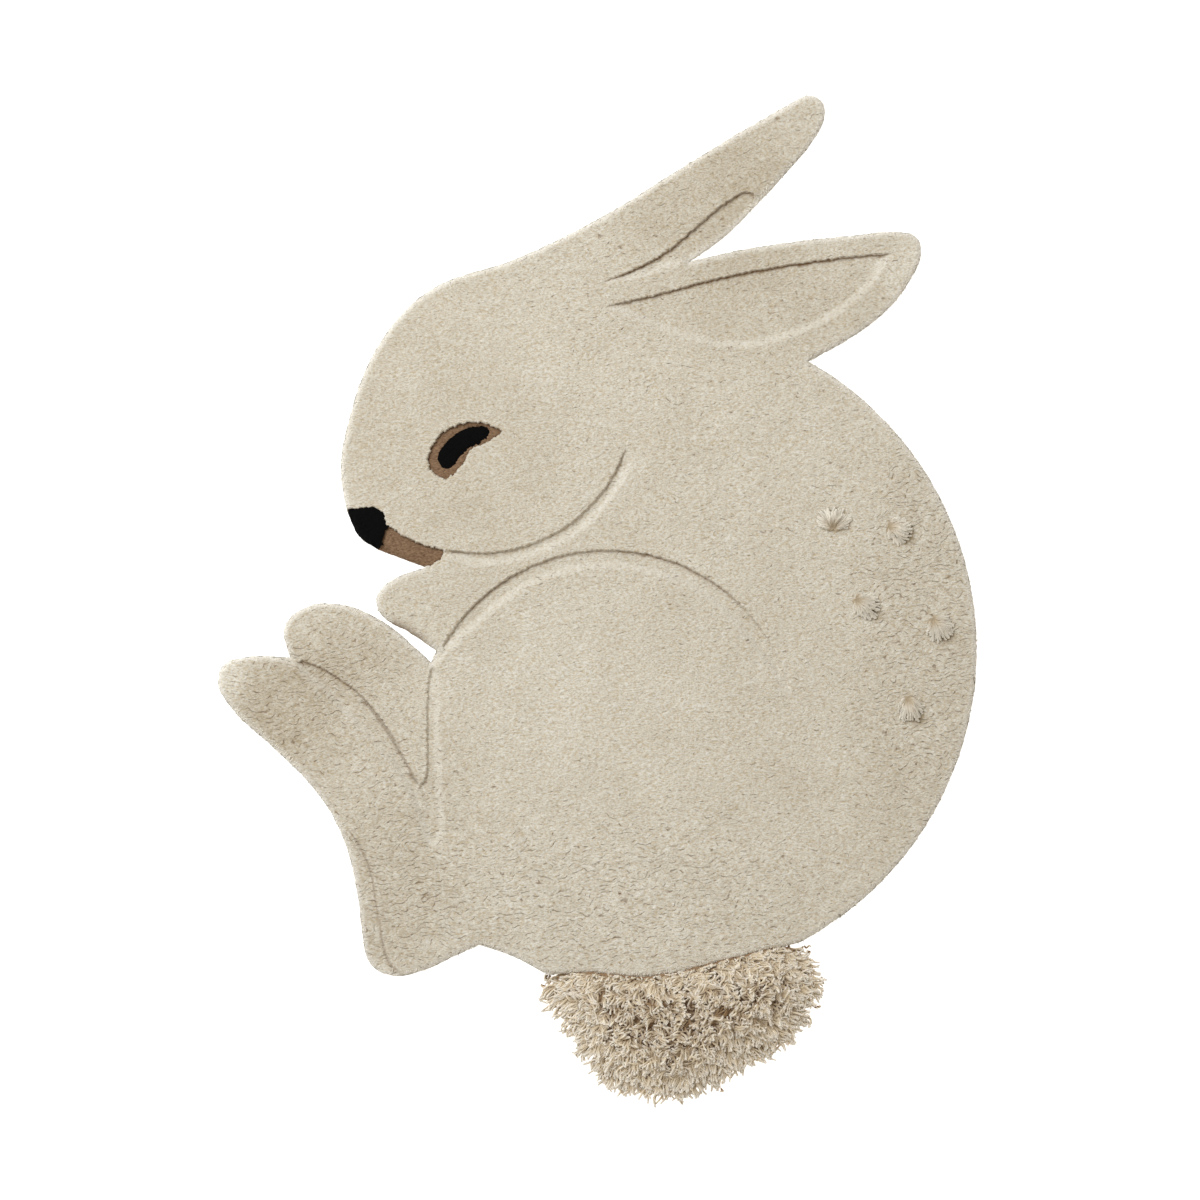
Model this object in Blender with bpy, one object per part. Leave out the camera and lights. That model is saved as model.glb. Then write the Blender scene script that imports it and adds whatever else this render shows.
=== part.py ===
"""Rabbit-shaped wool rug for a child's room, lying flat on the floor.

The rug is hand tufted: cut wool pile on a stiff backing cloth, shorn to one height and then carved, so that
a lower band beside each drawn line parts the head, haunch, feet and ears. The nose, muzzle and eye are
fields of dark yarn, the tail is long shag, and five small tufts of long yarn stand on the back.

Frame: metres, +Z up, +Y from the tail to the ear tips, the underside at Z = 0. The origin is below the middle
of the rug's plan. Plan sizes in the tables are millimetres from about that origin, X first and then Y.
"""

import math
import random
from collections import namedtuple

import bmesh
import bpy
import numpy as np
from mathutils import Matrix, Vector, geometry, noise

MM = 0.001

# ---- heights and walls, in metres ---------------------------------------------------------------------
BACKING = 0.003  # backing cloth and latex
PILE_TOP = 0.016  # shorn top of the cut pile
RIM_RADIUS = 0.007  # the pile rolls over this far at the rug's edge
CARVE_DEPTH = 0.005  # of a carved band beside its drawn line
STEEP_RUN = 0.0015  # plan width of the sheared side of a band
SOFT_RUN = 0.009  # plan width of its sloping side
POCKET_RUN = 0.0005  # plan width of the walls round a field of dark yarn
GAP = 0.0003  # between pieces

# ---- fineness of the solids, in metres ----------------------------------------------------------------
LONGEST_STEP = 0.016
SHORTEST_STEP = 0.003
TURN_STEP = math.radians(11)
RIM_RINGS = (0.2, 0.6, 1.0)  # where the rolled rim has its rings, as shares of RIM_RADIUS

# ---- round stretches, in millimetres and degrees ------------------------------------------------------
Round = namedtuple("Round", "x y radius start end")
BACK = Round(x=65, y=-68, radius=440, start=-62.3, end=60.6)
HAUNCH = Round(x=14, y=-188, radius=253, start=14, end=152)
CHEEK = Round(x=-156, y=264, radius=203, start=-104, end=-18)

# ---- the rug's edge, a row for each landmark; each table starts where the one before it ends ----------
LOWER_EAR = (
    # landmark          x    y
    ("nape", 281, 315),
    ("back edge, low", 336, 346),
    ("back edge, high", 386, 384),
    ("below the tip", 415, 421),
    ("tip, back", 431, 462),
    ("tip", 424, 481),
    ("tip, front", 404, 487),
    ("front edge, high", 355, 484),
    ("front edge", 270, 475),
    ("front edge, low", 190, 463),
    ("between the ears", 121, 447),
)
UPPER_EAR_AND_BROW = (
    # landmark          x    y
    ("between the ears", 121, 447),
    ("back edge, low", 163, 476),
    ("back edge", 210, 521),
    ("back edge, high", 254, 569),
    ("below the tip", 290, 613),
    ("tip, back", 303, 645),
    ("tip", 297, 663),
    ("tip, front", 281, 669),
    ("front edge, high", 256, 657),
    ("front edge", 139, 589),
    ("ear root", 2, 505),
    ("crown", -109, 451),
    ("brow", -222, 410),
    ("forehead", -288, 341),
    ("bridge", -332, 230),
    ("above the nose", -341, 170),
    ("nose top", -333, 117),
)
NOSE = (
    # landmark          x    y
    ("nose top", -333, 117),
    ("nose tip", -316, 82),
    ("nose, below", -291, 65),
)
CHIN = (
    # landmark          x    y
    ("nose, below", -291, 65),
    ("lip", -260, 53),
    ("under the chin", -228, 41),
)
FOREPAW = (
    # landmark          x    y
    ("under the chin", -228, 41),
    ("wrist", -264, 29),
    ("paw, top", -288, 11),
    ("paw tip", -294, -6),
    ("paw, below", -285, -24),
    ("pad", -250, -45),
    ("paw root", -213, -70),
)
NEAR_FOOT = (
    # landmark          x    y
    ("slot end", -221, -85),
    ("instep", -248, -61),
    ("foot back", -285, -31),
    ("toe, top", -350, -7),
    ("toe", -392, -14),
    ("toe tip", -416, -40),
    ("between the feet", -408, -79),
)
FAR_FOOT_AND_LEG = (
    # landmark          x    y
    ("between the feet", -408, -79),
    ("toe, top", -470, -79),
    ("toe", -498, -90),
    ("toe tip", -504, -112),
    ("sole", -488, -144),
    ("sole, mid", -428, -201),
    ("ankle", -365, -268),
    ("shin, high", -336, -324),
    ("shin", -320, -385),
    ("shin, low", -312, -445),
    ("heel", -302, -486),
    ("heel, below", -272, -502),
    ("rump corner", -237, -497),
    ("rump", -195, -478),
    ("rump notch", -157, -461),
)
BELLY = (
    # landmark          x    y
    ("rump notch", -157, -461),
    ("belly", -112, -476),
    ("tail root, left", -65, -501),
)
TAIL_SEAM = (
    # landmark          x    y
    ("tail root, left", -65, -501),
    ("seam, left", -20, -498),
    ("seam, middle", 70, -503),
    ("seam, right", 180, -479),
    ("tail root, right", 269.5, -457.6),
)
EDGE_TABLES = (
    LOWER_EAR,
    UPPER_EAR_AND_BROW,
    NOSE,
    CHIN,
    FOREPAW,
    NEAR_FOOT,
    FAR_FOOT_AND_LEG,
    BELLY,
    TAIL_SEAM,
)

# ---- carved bands: a drawn line, with a low band of this width in millimetres beside it ---------------
# side is 1 where the band lies left of its line, as the line is drawn, and -1 where it lies right.
Band = namedtuple("Band", "name line width side depth")
BANDS = (
    Band("throat", CHEEK, width=18, side=-1, depth=CARVE_DEPTH),
    Band("haunch", HAUNCH, width=25, side=1, depth=CARVE_DEPTH),
    Band(
        "far leg",
        ((-362, -250), (-343, -294), (-317, -335), (-304, -362), (-294, -410), (-284, -458), (-262, -508)),
        width=46,  # past the rug's edge, so the whole outer side of the leg is low
        side=-1,
        depth=0.5 * CARVE_DEPTH,
    ),
)
BAND_END = 0.4  # width of a band at its two ends, as a share of its full width
BAND_TAPER = 0.12  # share of a band's length over which it widens from that

# ---- hollows: low beyond the fold, and sloping up again to the bowl's line ----------------------------
Hollow = namedtuple("Hollow", "name fold bowl beyond depth")
HOLLOWS = (
    Hollow(
        "lower ear",
        fold=((396, 460), (320, 453), (243, 442), (163, 427), (88, 407), (37, 395), (14, 390), (-6, 392)),
        bowl=((-6, 392), (34, 377), (84, 357), (137, 339), (190, 333), (243, 342), (345, 395), (396, 460)),
        beyond=(),
        depth=CARVE_DEPTH,
    ),
    Hollow(
        "upper ear",
        fold=((232, 520), (217, 533), (200, 541), (176, 530), (139, 501), (90, 460), (40, 434), (-13, 415)),
        bowl=((-13, 415), (60, 427), (121, 447)),
        beyond=((178, 471), (232, 520)),  # past the rug's edge
        depth=CARVE_DEPTH,
    ),
    Hollow(
        "round the near foot",
        fold=(
            *((-408, -79), (-385, -84), (-355, -98), (-310, -132), (-271, -183), (-249, -228), (-240, -242)),
            *((-235, -246), (-230, -241), (-227, -222), (-227, -165), (-225, -115), (-221, -85)),
        ),
        bowl=(
            *((-221, -85), (-211, -98), (-209, -125), (-209, -160), (-207, -214), (-205, -268), (-203, -310)),
            *((-207, -325), (-217, -330), (-227, -325), (-233, -311), (-240, -290), (-257, -251)),
            *((-274, -223), (-303, -189), (-335, -156), (-362, -126), (-392, -103), (-408, -79)),
        ),
        beyond=(),
        depth=0.9 * CARVE_DEPTH,
    ),
)

# ---- fields of dark yarn ------------------------------------------------------------------------------
EYE_LID = ((-222, 171), (-225, 186), (-215, 210), (-187, 230), (-155, 234), (-127, 224))
EYE_LOWER = (
    *((-127, 224), (-130, 218), (-147, 207), (-169, 196)),
    *((-180, 177), (-191, 164), (-206, 159), (-222, 171)),
)
PUPIL = (
    *((-211, 186), (-206, 199), (-186, 219), (-162, 227), (-144, 222)),
    *((-153, 211), (-178, 197), (-190, 179), (-201, 173)),
)
NOSE_INNER = ((-333, 117), (-313, 120), (-293, 120), (-284, 110), (-281, 100))
NOSE_SIDE = ((-281, 100), (-284, 84), (-291, 65))
MUZZLE_TOP_LINE = ((-281, 100), (-256, 82), (-229, 70), (-205, 65))
LIP_END = ((-205, 65), (-207, 53), (-228, 41))
BEYOND_EDGE = 0.008  # how far a pocket that is open at the rug's edge is cut past it
BEYOND_TAPER = 3  # points over which that shrinks to nothing at the throat
NOSE_TOP = PILE_TOP - 0.0005
MUZZLE_TOP = PILE_TOP - 0.0050
EYE_RIM_TOP = PILE_TOP - 0.0045
PUPIL_TOP = PILE_TOP - 0.0035
PUPIL_FLOOR = 0.0055
INLAY_ROUND = 0.0015  # rounding of a field's top along the cream pile

# ---- the shag tail ------------------------------------------------------------------------------------
TAIL_RIM = (
    # landmark          x    y
    ("root, left", -50, -504),
    ("left tip", -59, -523),
    ("left flank", -33, -561),
    ("lower left", 8, -620),
    ("bottom, left", 57, -649),
    ("bottom", 112, -650),
    ("bottom, right", 161, -631),
    ("lower right", 194, -606),
    ("above the dent", 224, -593),
    ("right flank", 268, -555),
    ("right", 279, -510),
    ("root, right", 258, -466),
)
TAIL_LOCK = 0.022  # mean length of the locks round the rim
TAIL_LOCK_PITCH = 0.008
TAIL_RIM_HEIGHT = 0.011
TAIL_SEAM_HEIGHT = 0.013
TAIL_CROWN = 0.030  # top of the slab
TAIL_RISE = 0.045  # the slab reaches that height this far in from its rim
TAIL_SEAM_SHARE = 0.25  # share of its rise that it already has at the seam
TAIL_LUMP = 0.005
TAIL_LUMP_PITCH = 0.022
TAIL_GRID = 0.011

# ---- locks of yarn ------------------------------------------------------------------------------------
LOCK_STEPS = 3
LOCK_ROOT_GAP = 0.0009  # half the space between the roots of two locks
LOCK_LEAN = 0.7  # how far a lock may bend sideways, in lock lengths; its neighbours bend nearly alike
LOCK_LEAN_STEP = 0.3
LOCK_TIP_WIDTH = 0.35  # in root widths
LOCK_FALL = 0.78  # share of its height that a lock loses from root to tip

# ---- the tufts on the back, placed about the middle of BACK -------------------------------------------
TUFTS = (
    # degrees  radius
    (35, 304),
    (25, 374),
    (11, 300),
    (4, 393),
    (-13, 361),
)
TUFT_LOCKS = 12
TUFT_HEAD_RADIUS = 0.0085
TUFT_HEAD_HEIGHT = 0.009
TUFT_SHOULDER = 0.62  # radius of the head's upper ring, in head radii
TUFT_LOCK = 0.010
TUFT_LOCK_HEIGHT = 0.0055

COLOURS = {  # linear base colours of the yarns
    "cream": (0.62, 0.57, 0.46),
    "shag": (0.56, 0.49, 0.38),
    "brown": (0.21, 0.135, 0.08),
    "black": (0.004, 0.0035, 0.003),
}

# ---- how lines are drawn ------------------------------------------------------------------------------
HANDLE_SHARE = 1 / 2.5614  # length of a Bezier handle that makes round bends, as a share of the chord
CURVE_POINTS = 24  # points of the finely drawn curve between two marks
STRAIGHT_TURN = 0.1  # below this sine of its turn a corner isn't mitred
MITRE_LIMIT = 2.5  # the longest mitre, in widths


# ---- lines in plan ------------------------------------------------------------------------------------
def metres(marks):
    return [Vector((x * MM, y * MM)) for x, y in marks]


def places(table):
    """The X and Y columns of a landmark table."""
    return metres([(x, y) for _, x, y in table])


def smooth_line(marks, closed=False):
    """A finely drawn smooth curve through the marks, with a Bezier piece from each mark to the next."""
    count = len(marks)
    tangents = []
    for i, mark in enumerate(marks):
        before = marks[i - 1] if closed or i else mark
        after = marks[(i + 1) % count] if closed or i < count - 1 else mark
        tangents.append(((mark - before).normalized() + (after - mark).normalized()).normalized())
    line = []
    for i in range(count if closed else count - 1):
        here, there = marks[i], marks[(i + 1) % count]
        handle = (there - here).length * HANDLE_SHARE
        handles = here + tangents[i] * handle, there - tangents[(i + 1) % count] * handle
        line += geometry.interpolate_bezier(here, *handles, there, CURVE_POINTS)[:-1]
    return line if closed else line + [marks[-1]]


def on_round(circle, degrees, radius=None):
    """The place at an angle on a round stretch, or on a circle of another radius about its middle."""
    away = Vector((math.cos(math.radians(degrees)), math.sin(math.radians(degrees))))
    return (Vector((circle.x, circle.y)) + away * (radius or circle.radius)) * MM


def round_line(circle):
    """The finely drawn arc of a round stretch."""
    steps = round(circle.end - circle.start)
    step = (circle.end - circle.start) / steps
    return [on_round(circle, circle.start + step * k) for k in range(steps + 1)]


def drawn(line):
    """The fine points of a Round, or of the smooth curve through marks in millimetres."""
    return round_line(line) if isinstance(line, Round) else smooth_line(metres(line))


def thinned(line):
    """The line with only the points its bends need. Its two ends stay."""
    kept, turned = [line[0]], 0.0
    for before, here, after in zip(line, line[1:], line[2:]):
        turned += abs((here - before).angle_signed(after - here, 0.0))
        step = (here - kept[-1]).length
        if step >= LONGEST_STEP or (turned >= TURN_STEP and step >= SHORTEST_STEP):
            kept.append(here)
            turned = 0.0
    return kept + [line[-1]]


def evenly(line, pitch):
    """Points along the line at equal steps of about the pitch, its two ends among them."""
    along = np.cumsum([0] + [(b - a).length for a, b in zip(line, line[1:])])
    stops = np.linspace(0, along[-1], round(along[-1] / pitch) + 1)
    columns = [np.interp(stops, along, [point[k] for point in line]) for k in (0, 1)]
    return [Vector(point) for point in zip(*columns)]


def beside(line, distance):
    """The line moved to its left by distance, or by one distance for each point."""
    distances = distance if hasattr(distance, "__len__") else [distance] * len(line)
    moved = []
    for i, here in enumerate(line):
        along = (line[min(i + 1, len(line) - 1)] - line[max(i - 1, 0)]).normalized()
        moved.append(here + Vector((-along.y, along.x)) * distances[i])
    return moved


def inset(loop, distance):
    """A closed anticlockwise outline moved inwards, by distance or by one for the side after each point."""
    sides = distance if hasattr(distance, "__len__") else [distance] * len(loop)
    moved = []
    for i, here in enumerate(loop):
        arriving = (here - loop[i - 1]).normalized()
        leaving = (loop[(i + 1) % len(loop)] - here).normalized()
        left_in, left_out = Vector((-arriving.y, arriving.x)), Vector((-leaving.y, leaving.x))
        turn = arriving.cross(leaving)
        if abs(turn) < STRAIGHT_TURN:
            moved.append(here + (left_in + left_out).normalized() * (sides[i - 1] + sides[i]) / 2)
            continue
        limit = MITRE_LIMIT * max(abs(sides[i - 1]), abs(sides[i]))
        shift = (sides[i - 1] * left_in.dot(left_out) - sides[i]) / turn
        moved.append(here + left_in * sides[i - 1] + arriving * max(-limit, min(limit, shift)))
    return moved


def chained(*runs):
    """Runs of (line, distance) joined head to tail: the loop, and the distance of the side after a point."""
    loop, sides = [], []
    for line, distance in runs:
        loop += line[:-1]
        sides += [distance] * (len(line) - 1)
    return loop, sides


def anticlockwise(loop):
    area = sum(a.cross(b) for a, b in zip(loop, loop[1:] + loop[:1]))
    return loop if area > 0 else loop[::-1]


def closed(loop):
    return loop + loop[:1]


# ---- distances from lines, for many points at once ----------------------------------------------------
def as_array(points):
    return np.array([(p[0], p[1]) for p in points], float).reshape(-1, 2)


def distance_to(points, line):
    """The distance of each point from a line."""
    points, line = as_array(points), as_array(line)
    start, run = line[:-1], np.diff(line, axis=0)
    length2 = np.maximum((run**2).sum(axis=1), 1e-18)
    share = (((points[:, None] - start) * run).sum(axis=2) / length2).clip(0, 1)
    nearest = start + share[..., None] * run
    return np.linalg.norm(points[:, None] - nearest, axis=2).min(axis=1)


def is_inside(points, loop):
    """Whether each point lies inside a closed outline."""
    points, loop = as_array(points), as_array(loop)
    after = np.roll(loop, -1, axis=0)
    x, y = points[:, :1], points[:, 1:]
    crosses = (loop[:, 1] > y) != (after[:, 1] > y)
    rise = np.where(after[:, 1] == loop[:, 1], 1, after[:, 1] - loop[:, 1])
    at = loop[:, 0] + (y - loop[:, 1]) * (after[:, 0] - loop[:, 0]) / rise
    return (crosses & (x < at)).sum(axis=1) % 2 == 1


def eased(share):
    """0 to 1 with soft ends."""
    share = np.clip(share, 0, 1)
    return share * share * (3 - 2 * share)


def rounded(points, line, radius):
    """How far an edge along the line, rounded to that radius, is lower than the top at each point."""
    share = np.clip(distance_to(points, line) / radius, 0, 1)
    return radius * (1 - np.sqrt(1 - (1 - share) ** 2))


def row_inside(loop, run):
    """Points a little inside a closed outline, where a slope along it ends. Crowded corners get none."""
    row = inset(loop, run)
    clear = is_inside(row, loop) & (distance_to(row, closed(loop)) > 0.9 * run)
    return [point for point, ok in zip(row, clear) if ok]


def near(points, line, reach):
    return [point for point, away in zip(points, distance_to(points, line)) if away < reach]


# ---- what is cut into the pile ------------------------------------------------------------------------
Field = namedtuple("Field", "steep soft depth soft_run")


def loop_of(field):
    return anticlockwise(field.steep + field.soft[1:-1])


def band_field(band):
    """A low band beside a drawn line: sheared along it, sloping on the other side, narrow at both ends."""
    line = thinned(drawn(band.line))
    last = len(line) - 1
    taper = [min(1, min(i, last - i) / (BAND_TAPER * last)) for i in range(last + 1)]
    widths = [band.side * band.width * MM * (BAND_END + (1 - BAND_END) * share) for share in taper]
    other = beside(line, widths)[::-1]
    return Field(line, [line[-1], *other, line[0]], band.depth, SOFT_RUN)


def hollow_field(hollow):
    """A low place: sheared along its fold, sloping along its bowl."""
    bowl = thinned(drawn(hollow.bowl)) + metres(hollow.beyond)
    return Field(thinned(drawn(hollow.fold)), bowl, hollow.depth, SOFT_RUN)


def carved(points, field):
    """How far a carved field lowers the pile at each point."""
    steep = distance_to(points, field.steep) / STEEP_RUN
    soft = eased(distance_to(points, field.soft) / field.soft_run)
    depth = field.depth * np.minimum(1, np.minimum(steep, soft))
    return np.where(is_inside(points, loop_of(field)), depth, 0)


def feet_of(field):
    """Points where the two sides of a field reach its floor."""
    loop = loop_of(field)
    steep_foot = near(row_inside(loop, STEEP_RUN), field.steep, 1.1 * STEEP_RUN)
    return steep_foot + near(row_inside(loop, field.soft_run), field.soft, 1.1 * field.soft_run)


def pocketed(points, loop, depth):
    """How far a pocket with near-upright walls lowers the top at each point."""
    share = np.clip(distance_to(points, closed(loop)) / POCKET_RUN, 0, 1)
    return np.where(is_inside(points, loop), depth * share, 0)


# ---- solids -------------------------------------------------------------------------------------------
def wool(colour):
    """The dull, fuzzy wool of one colour."""
    name = colour + "_wool"
    material = bpy.data.materials.get(name) or bpy.data.materials.new(name)
    material.use_nodes = True
    shader = material.node_tree.nodes["Principled BSDF"]
    shader.inputs["Base Color"].default_value = (*COLOURS[colour], 1)
    shader.inputs["Roughness"].default_value = 0.95
    shader.inputs["Metallic"].default_value = 0.0
    return material


def add_object(name, bm, colour):
    bmesh.ops.triangulate(bm, faces=bm.faces[:])
    bmesh.ops.recalc_face_normals(bm, faces=bm.faces[:])
    mesh = bpy.data.meshes.new(name)
    bm.to_mesh(mesh)
    bm.free()
    mesh.materials.append(wool(colour))
    bpy.context.scene.collection.objects.link(bpy.data.objects.new(name, mesh))


def covered(edge, loops=(), loose=()):
    """Triangles that fill the plan outline edge and follow the loops in it, with loose points between."""
    points, lines = [], []
    for loop in [edge, *loops]:
        first = len(points)
        points += loop
        lines += [(first + i, first + (i + 1) % len(loop)) for i in range(len(loop))]
    points += loose
    found, _, faces, *_ = geometry.delaunay_2d_cdt(points, lines, [], 0, 1e-6)
    middles = [sum((found[i] for i in face), Vector((0, 0))) / len(face) for face in faces]
    kept = [tuple(face) for face, inside in zip(faces, is_inside(middles, edge)) if inside]
    used = sorted({i for face in kept for i in face})
    new = {old: k for k, old in enumerate(used)}
    return [found[i] for i in used], [tuple(new[i] for i in face) for face in kept]


def rim_of(faces):
    """The edges that only one face uses, chained into one loop of point numbers, anticlockwise."""
    directed = {(face[i], face[(i + 1) % len(face)]) for face in faces for i in range(len(face))}
    following = {a: b for a, b in directed if (b, a) not in directed}
    rim = [min(following)]
    while following[rim[-1]] != rim[0]:
        rim.append(following[rim[-1]])
    return rim


def pile_bmesh(edge, height, base, loops=(), loose=()):
    """A closed body over a plan outline: flat underside at base, upright walls, and top at height(points)."""
    points, faces = covered(edge, loops, loose)
    rim = rim_of(faces)
    bm = bmesh.new()
    top = [bm.verts.new((point.x, point.y, z)) for point, z in zip(points, height(points))]
    low = [bm.verts.new((points[i].x, points[i].y, base)) for i in rim]
    for face in faces:
        bm.faces.new([top[i] for i in face])
    walls = []
    for k in range(len(rim)):
        walls.append(bm.faces.new([low[k - 1], low[k], top[rim[k]], top[rim[k - 1]]]))
    place_of = {vertex.co.xy.to_tuple(6): vertex for vertex in low}
    under_points, under_faces = covered([vertex.co.xy for vertex in low])
    for face in under_faces:
        bm.faces.new([place_of[under_points[i].to_tuple(6)] for i in reversed(face)])
    bm.normal_update()
    return bm, walls


def body_edge():
    """The rug's edge without its tail, anticlockwise from the nape."""
    edge = []
    for table in EDGE_TABLES:
        edge += thinned(smooth_line(places(table)))[:-1]
        if table is FOREPAW:  # the slot between the paw and the near foot has a narrow blunt end
            edge += places(table)[-1:]
    return edge + thinned(round_line(BACK))[:-1]


def snout_lines():
    """The lines round the two dark fields at the snout, each running from the nose towards the throat."""
    return {
        "nose edge": thinned(smooth_line(places(NOSE))),
        "lip edge": thinned(smooth_line(places(CHIN))),
        "nose inner": thinned(drawn(NOSE_INNER)),
        "nose side": thinned(drawn(NOSE_SIDE)),
        "muzzle top": thinned(drawn(MUZZLE_TOP_LINE)),
        "lip end": thinned(drawn(LIP_END)),
    }


def snout_pocket():
    """The pocket for nose and muzzle, cut past the rug's edge so that it is open there."""
    lines = snout_lines()
    edge = lines["nose edge"] + lines["lip edge"][1:]
    pushes = [-BEYOND_EDGE * min(1, (len(edge) - 1 - i) / BEYOND_TAPER) for i in range(len(edge))]
    inner = lines["nose inner"][:-1] + lines["muzzle top"][:-1] + lines["lip end"]
    return anticlockwise(inner + beside(edge, pushes)[::-1][1:])


def eye_loop():
    return anticlockwise(thinned(drawn(EYE_LID))[:-1] + thinned(drawn(EYE_LOWER))[:-1])


def pupil_loop():
    line = smooth_line(metres(PUPIL), closed=True)
    return anticlockwise(thinned(closed(line))[:-1])


def make_body():
    """The cream cut pile on its backing, with the carved fields and the pockets for the dark yarn."""
    edge = body_edge()
    fields = [band_field(band) for band in BANDS] + [hollow_field(hollow) for hollow in HOLLOWS]
    pockets = [snout_pocket(), eye_loop()]

    def height(points):
        cuts = [rounded(points, closed(edge), RIM_RADIUS)]
        cuts += [carved(points, field) for field in fields]
        cuts += [pocketed(points, pocket, PILE_TOP - BACKING) for pocket in pockets]
        return PILE_TOP - np.max(cuts, axis=0)

    loops = [loop_of(field) for field in fields] + pockets + [inset(pocket, POCKET_RUN) for pocket in pockets]
    loose = [point for share in RIM_RINGS for point in row_inside(edge, share * RIM_RADIUS)]
    loose += [point for field in fields for point in feet_of(field)]
    bm, _ = pile_bmesh(edge, height, 0.0, loops, loose)
    add_object("rug_body", bm, "cream")


def make_inlay(name, loop, base, top, colour, rim=None, pocket=None):
    """A field of dark yarn in its pocket. Its top rolls over along rim, its stretch of the rug's edge."""

    def height(points):
        cuts = [rounded(points, closed(loop), INLAY_ROUND)]
        if rim:
            cuts.append(rounded(points, rim, RIM_RADIUS))
        if pocket:
            cuts.append(pocketed(points, pocket, top - PUPIL_FLOOR))
        return top - np.max(cuts, axis=0)

    loops = [pocket, inset(pocket, POCKET_RUN)] if pocket else []
    loose = row_inside(loop, INLAY_ROUND)
    if rim:
        loose += near(row_inside(loop, RIM_RADIUS), rim, 1.1 * RIM_RADIUS)
    bm, _ = pile_bmesh(loop, height, base, loops, loose)
    add_object(name, bm, colour)


def make_snout():
    """The black nose and the brown muzzle, which share one pocket."""
    lines = snout_lines()
    clearance = POCKET_RUN + GAP
    nose, nose_gaps = chained(
        (lines["nose edge"], 0),
        (lines["nose side"][::-1], GAP / 2),
        (lines["nose inner"][::-1], clearance),
    )
    muzzle, muzzle_gaps = chained(
        (lines["lip edge"][:-1], 0),
        (lines["lip edge"][-2:], clearance),
        (lines["lip end"][::-1], clearance),
        (lines["muzzle top"][::-1], clearance),
        (lines["nose side"], GAP / 2),
    )
    floor = BACKING + GAP
    make_inlay("nose_inlay", inset(nose, nose_gaps), floor, NOSE_TOP, "black", rim=lines["nose edge"])
    make_inlay("muzzle_inlay", inset(muzzle, muzzle_gaps), floor, MUZZLE_TOP, "brown", rim=lines["lip edge"])


def make_eye():
    """A brown crescent, and a black one standing in a blind pocket of it."""
    clearance = POCKET_RUN + GAP
    rim, pupil = inset(eye_loop(), clearance), inset(pupil_loop(), clearance)
    make_inlay("eye_rim_inlay", rim, BACKING + GAP, EYE_RIM_TOP, "brown", pocket=pupil_loop())
    make_inlay("eye_pupil_inlay", pupil, PUPIL_FLOOR + GAP, PUPIL_TOP, "black")


def grow_locks(bm, walls, floor, length, dice):
    """Draws a lock of yarn out of each of a row of walls. Neighbours bend nearly alike and stand apart."""
    bmesh.ops.inset_individual(bm, faces=walls, thickness=LOCK_ROOT_GAP, use_even_offset=True)
    for k, wall in enumerate(walls):
        lean = LOCK_LEAN * noise.noise(Vector((LOCK_LEAN_STEP * k, floor, 0.5)))
        grow_lock(bm, wall, floor, length * dice.uniform(0.65, 1.15), lean)


def grow_lock(bm, face, floor, length, lean):
    """Draws one lock out of a wall's face. It lies level on the floor, and thins and drops to its tip."""
    outwards = Vector((face.normal.x, face.normal.y, 0)).normalized()
    sideways = Vector((-outwards.y, outwards.x, 0))
    root = face.calc_center_median()
    height = max(vertex.co.z for vertex in face.verts) - floor
    middle, width = root, 1.0
    for step in range(1, LOCK_STEPS + 1):
        share = step / LOCK_STEPS
        new_middle = root + (outwards * share + sideways * lean * share**2) * length
        new_width = 1 + (LOCK_TIP_WIDTH - 1) * share
        face = bmesh.ops.extrude_discrete_faces(bm, faces=[face])["faces"][0]
        halfway = face.calc_center_median().z
        for vertex in face.verts:
            across = (vertex.co - middle).dot(sideways) * new_width / width
            top = floor + height * (1 - LOCK_FALL * share**1.4)
            is_top = vertex.co.z > halfway
            vertex.co = new_middle + sideways * across
            vertex.co.z = top if is_top else floor
        middle, width = new_middle, new_width


def tail_plan():
    """The slab's free rim, evenly stepped for the locks, and its seam along the body."""
    rim = evenly(smooth_line(places(TAIL_RIM)), TAIL_LOCK_PITCH)
    seam = [point - Vector((0, GAP)) for point in thinned(smooth_line(places(TAIL_SEAM)))]
    spare = TAIL_LOCK_PITCH / 2
    return rim, [point for point in seam if rim[0].x + spare < point.x < rim[-1].x - spare]


def lattice(loop, pitch):
    """Points of a triangular lattice inside an outline, not too near its edge."""
    low, high = as_array(loop).min(axis=0), as_array(loop).max(axis=0)
    points = []
    for row, y in enumerate(np.arange(low[1], high[1], pitch * math.sin(math.radians(60)))):
        points += [Vector((x, y)) for x in np.arange(low[0] + row % 2 * pitch / 2, high[0], pitch)]
    clear = is_inside(points, loop) & (distance_to(points, closed(loop)) > pitch / 2)
    return [point for point, ok in zip(points, clear) if ok]


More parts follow.
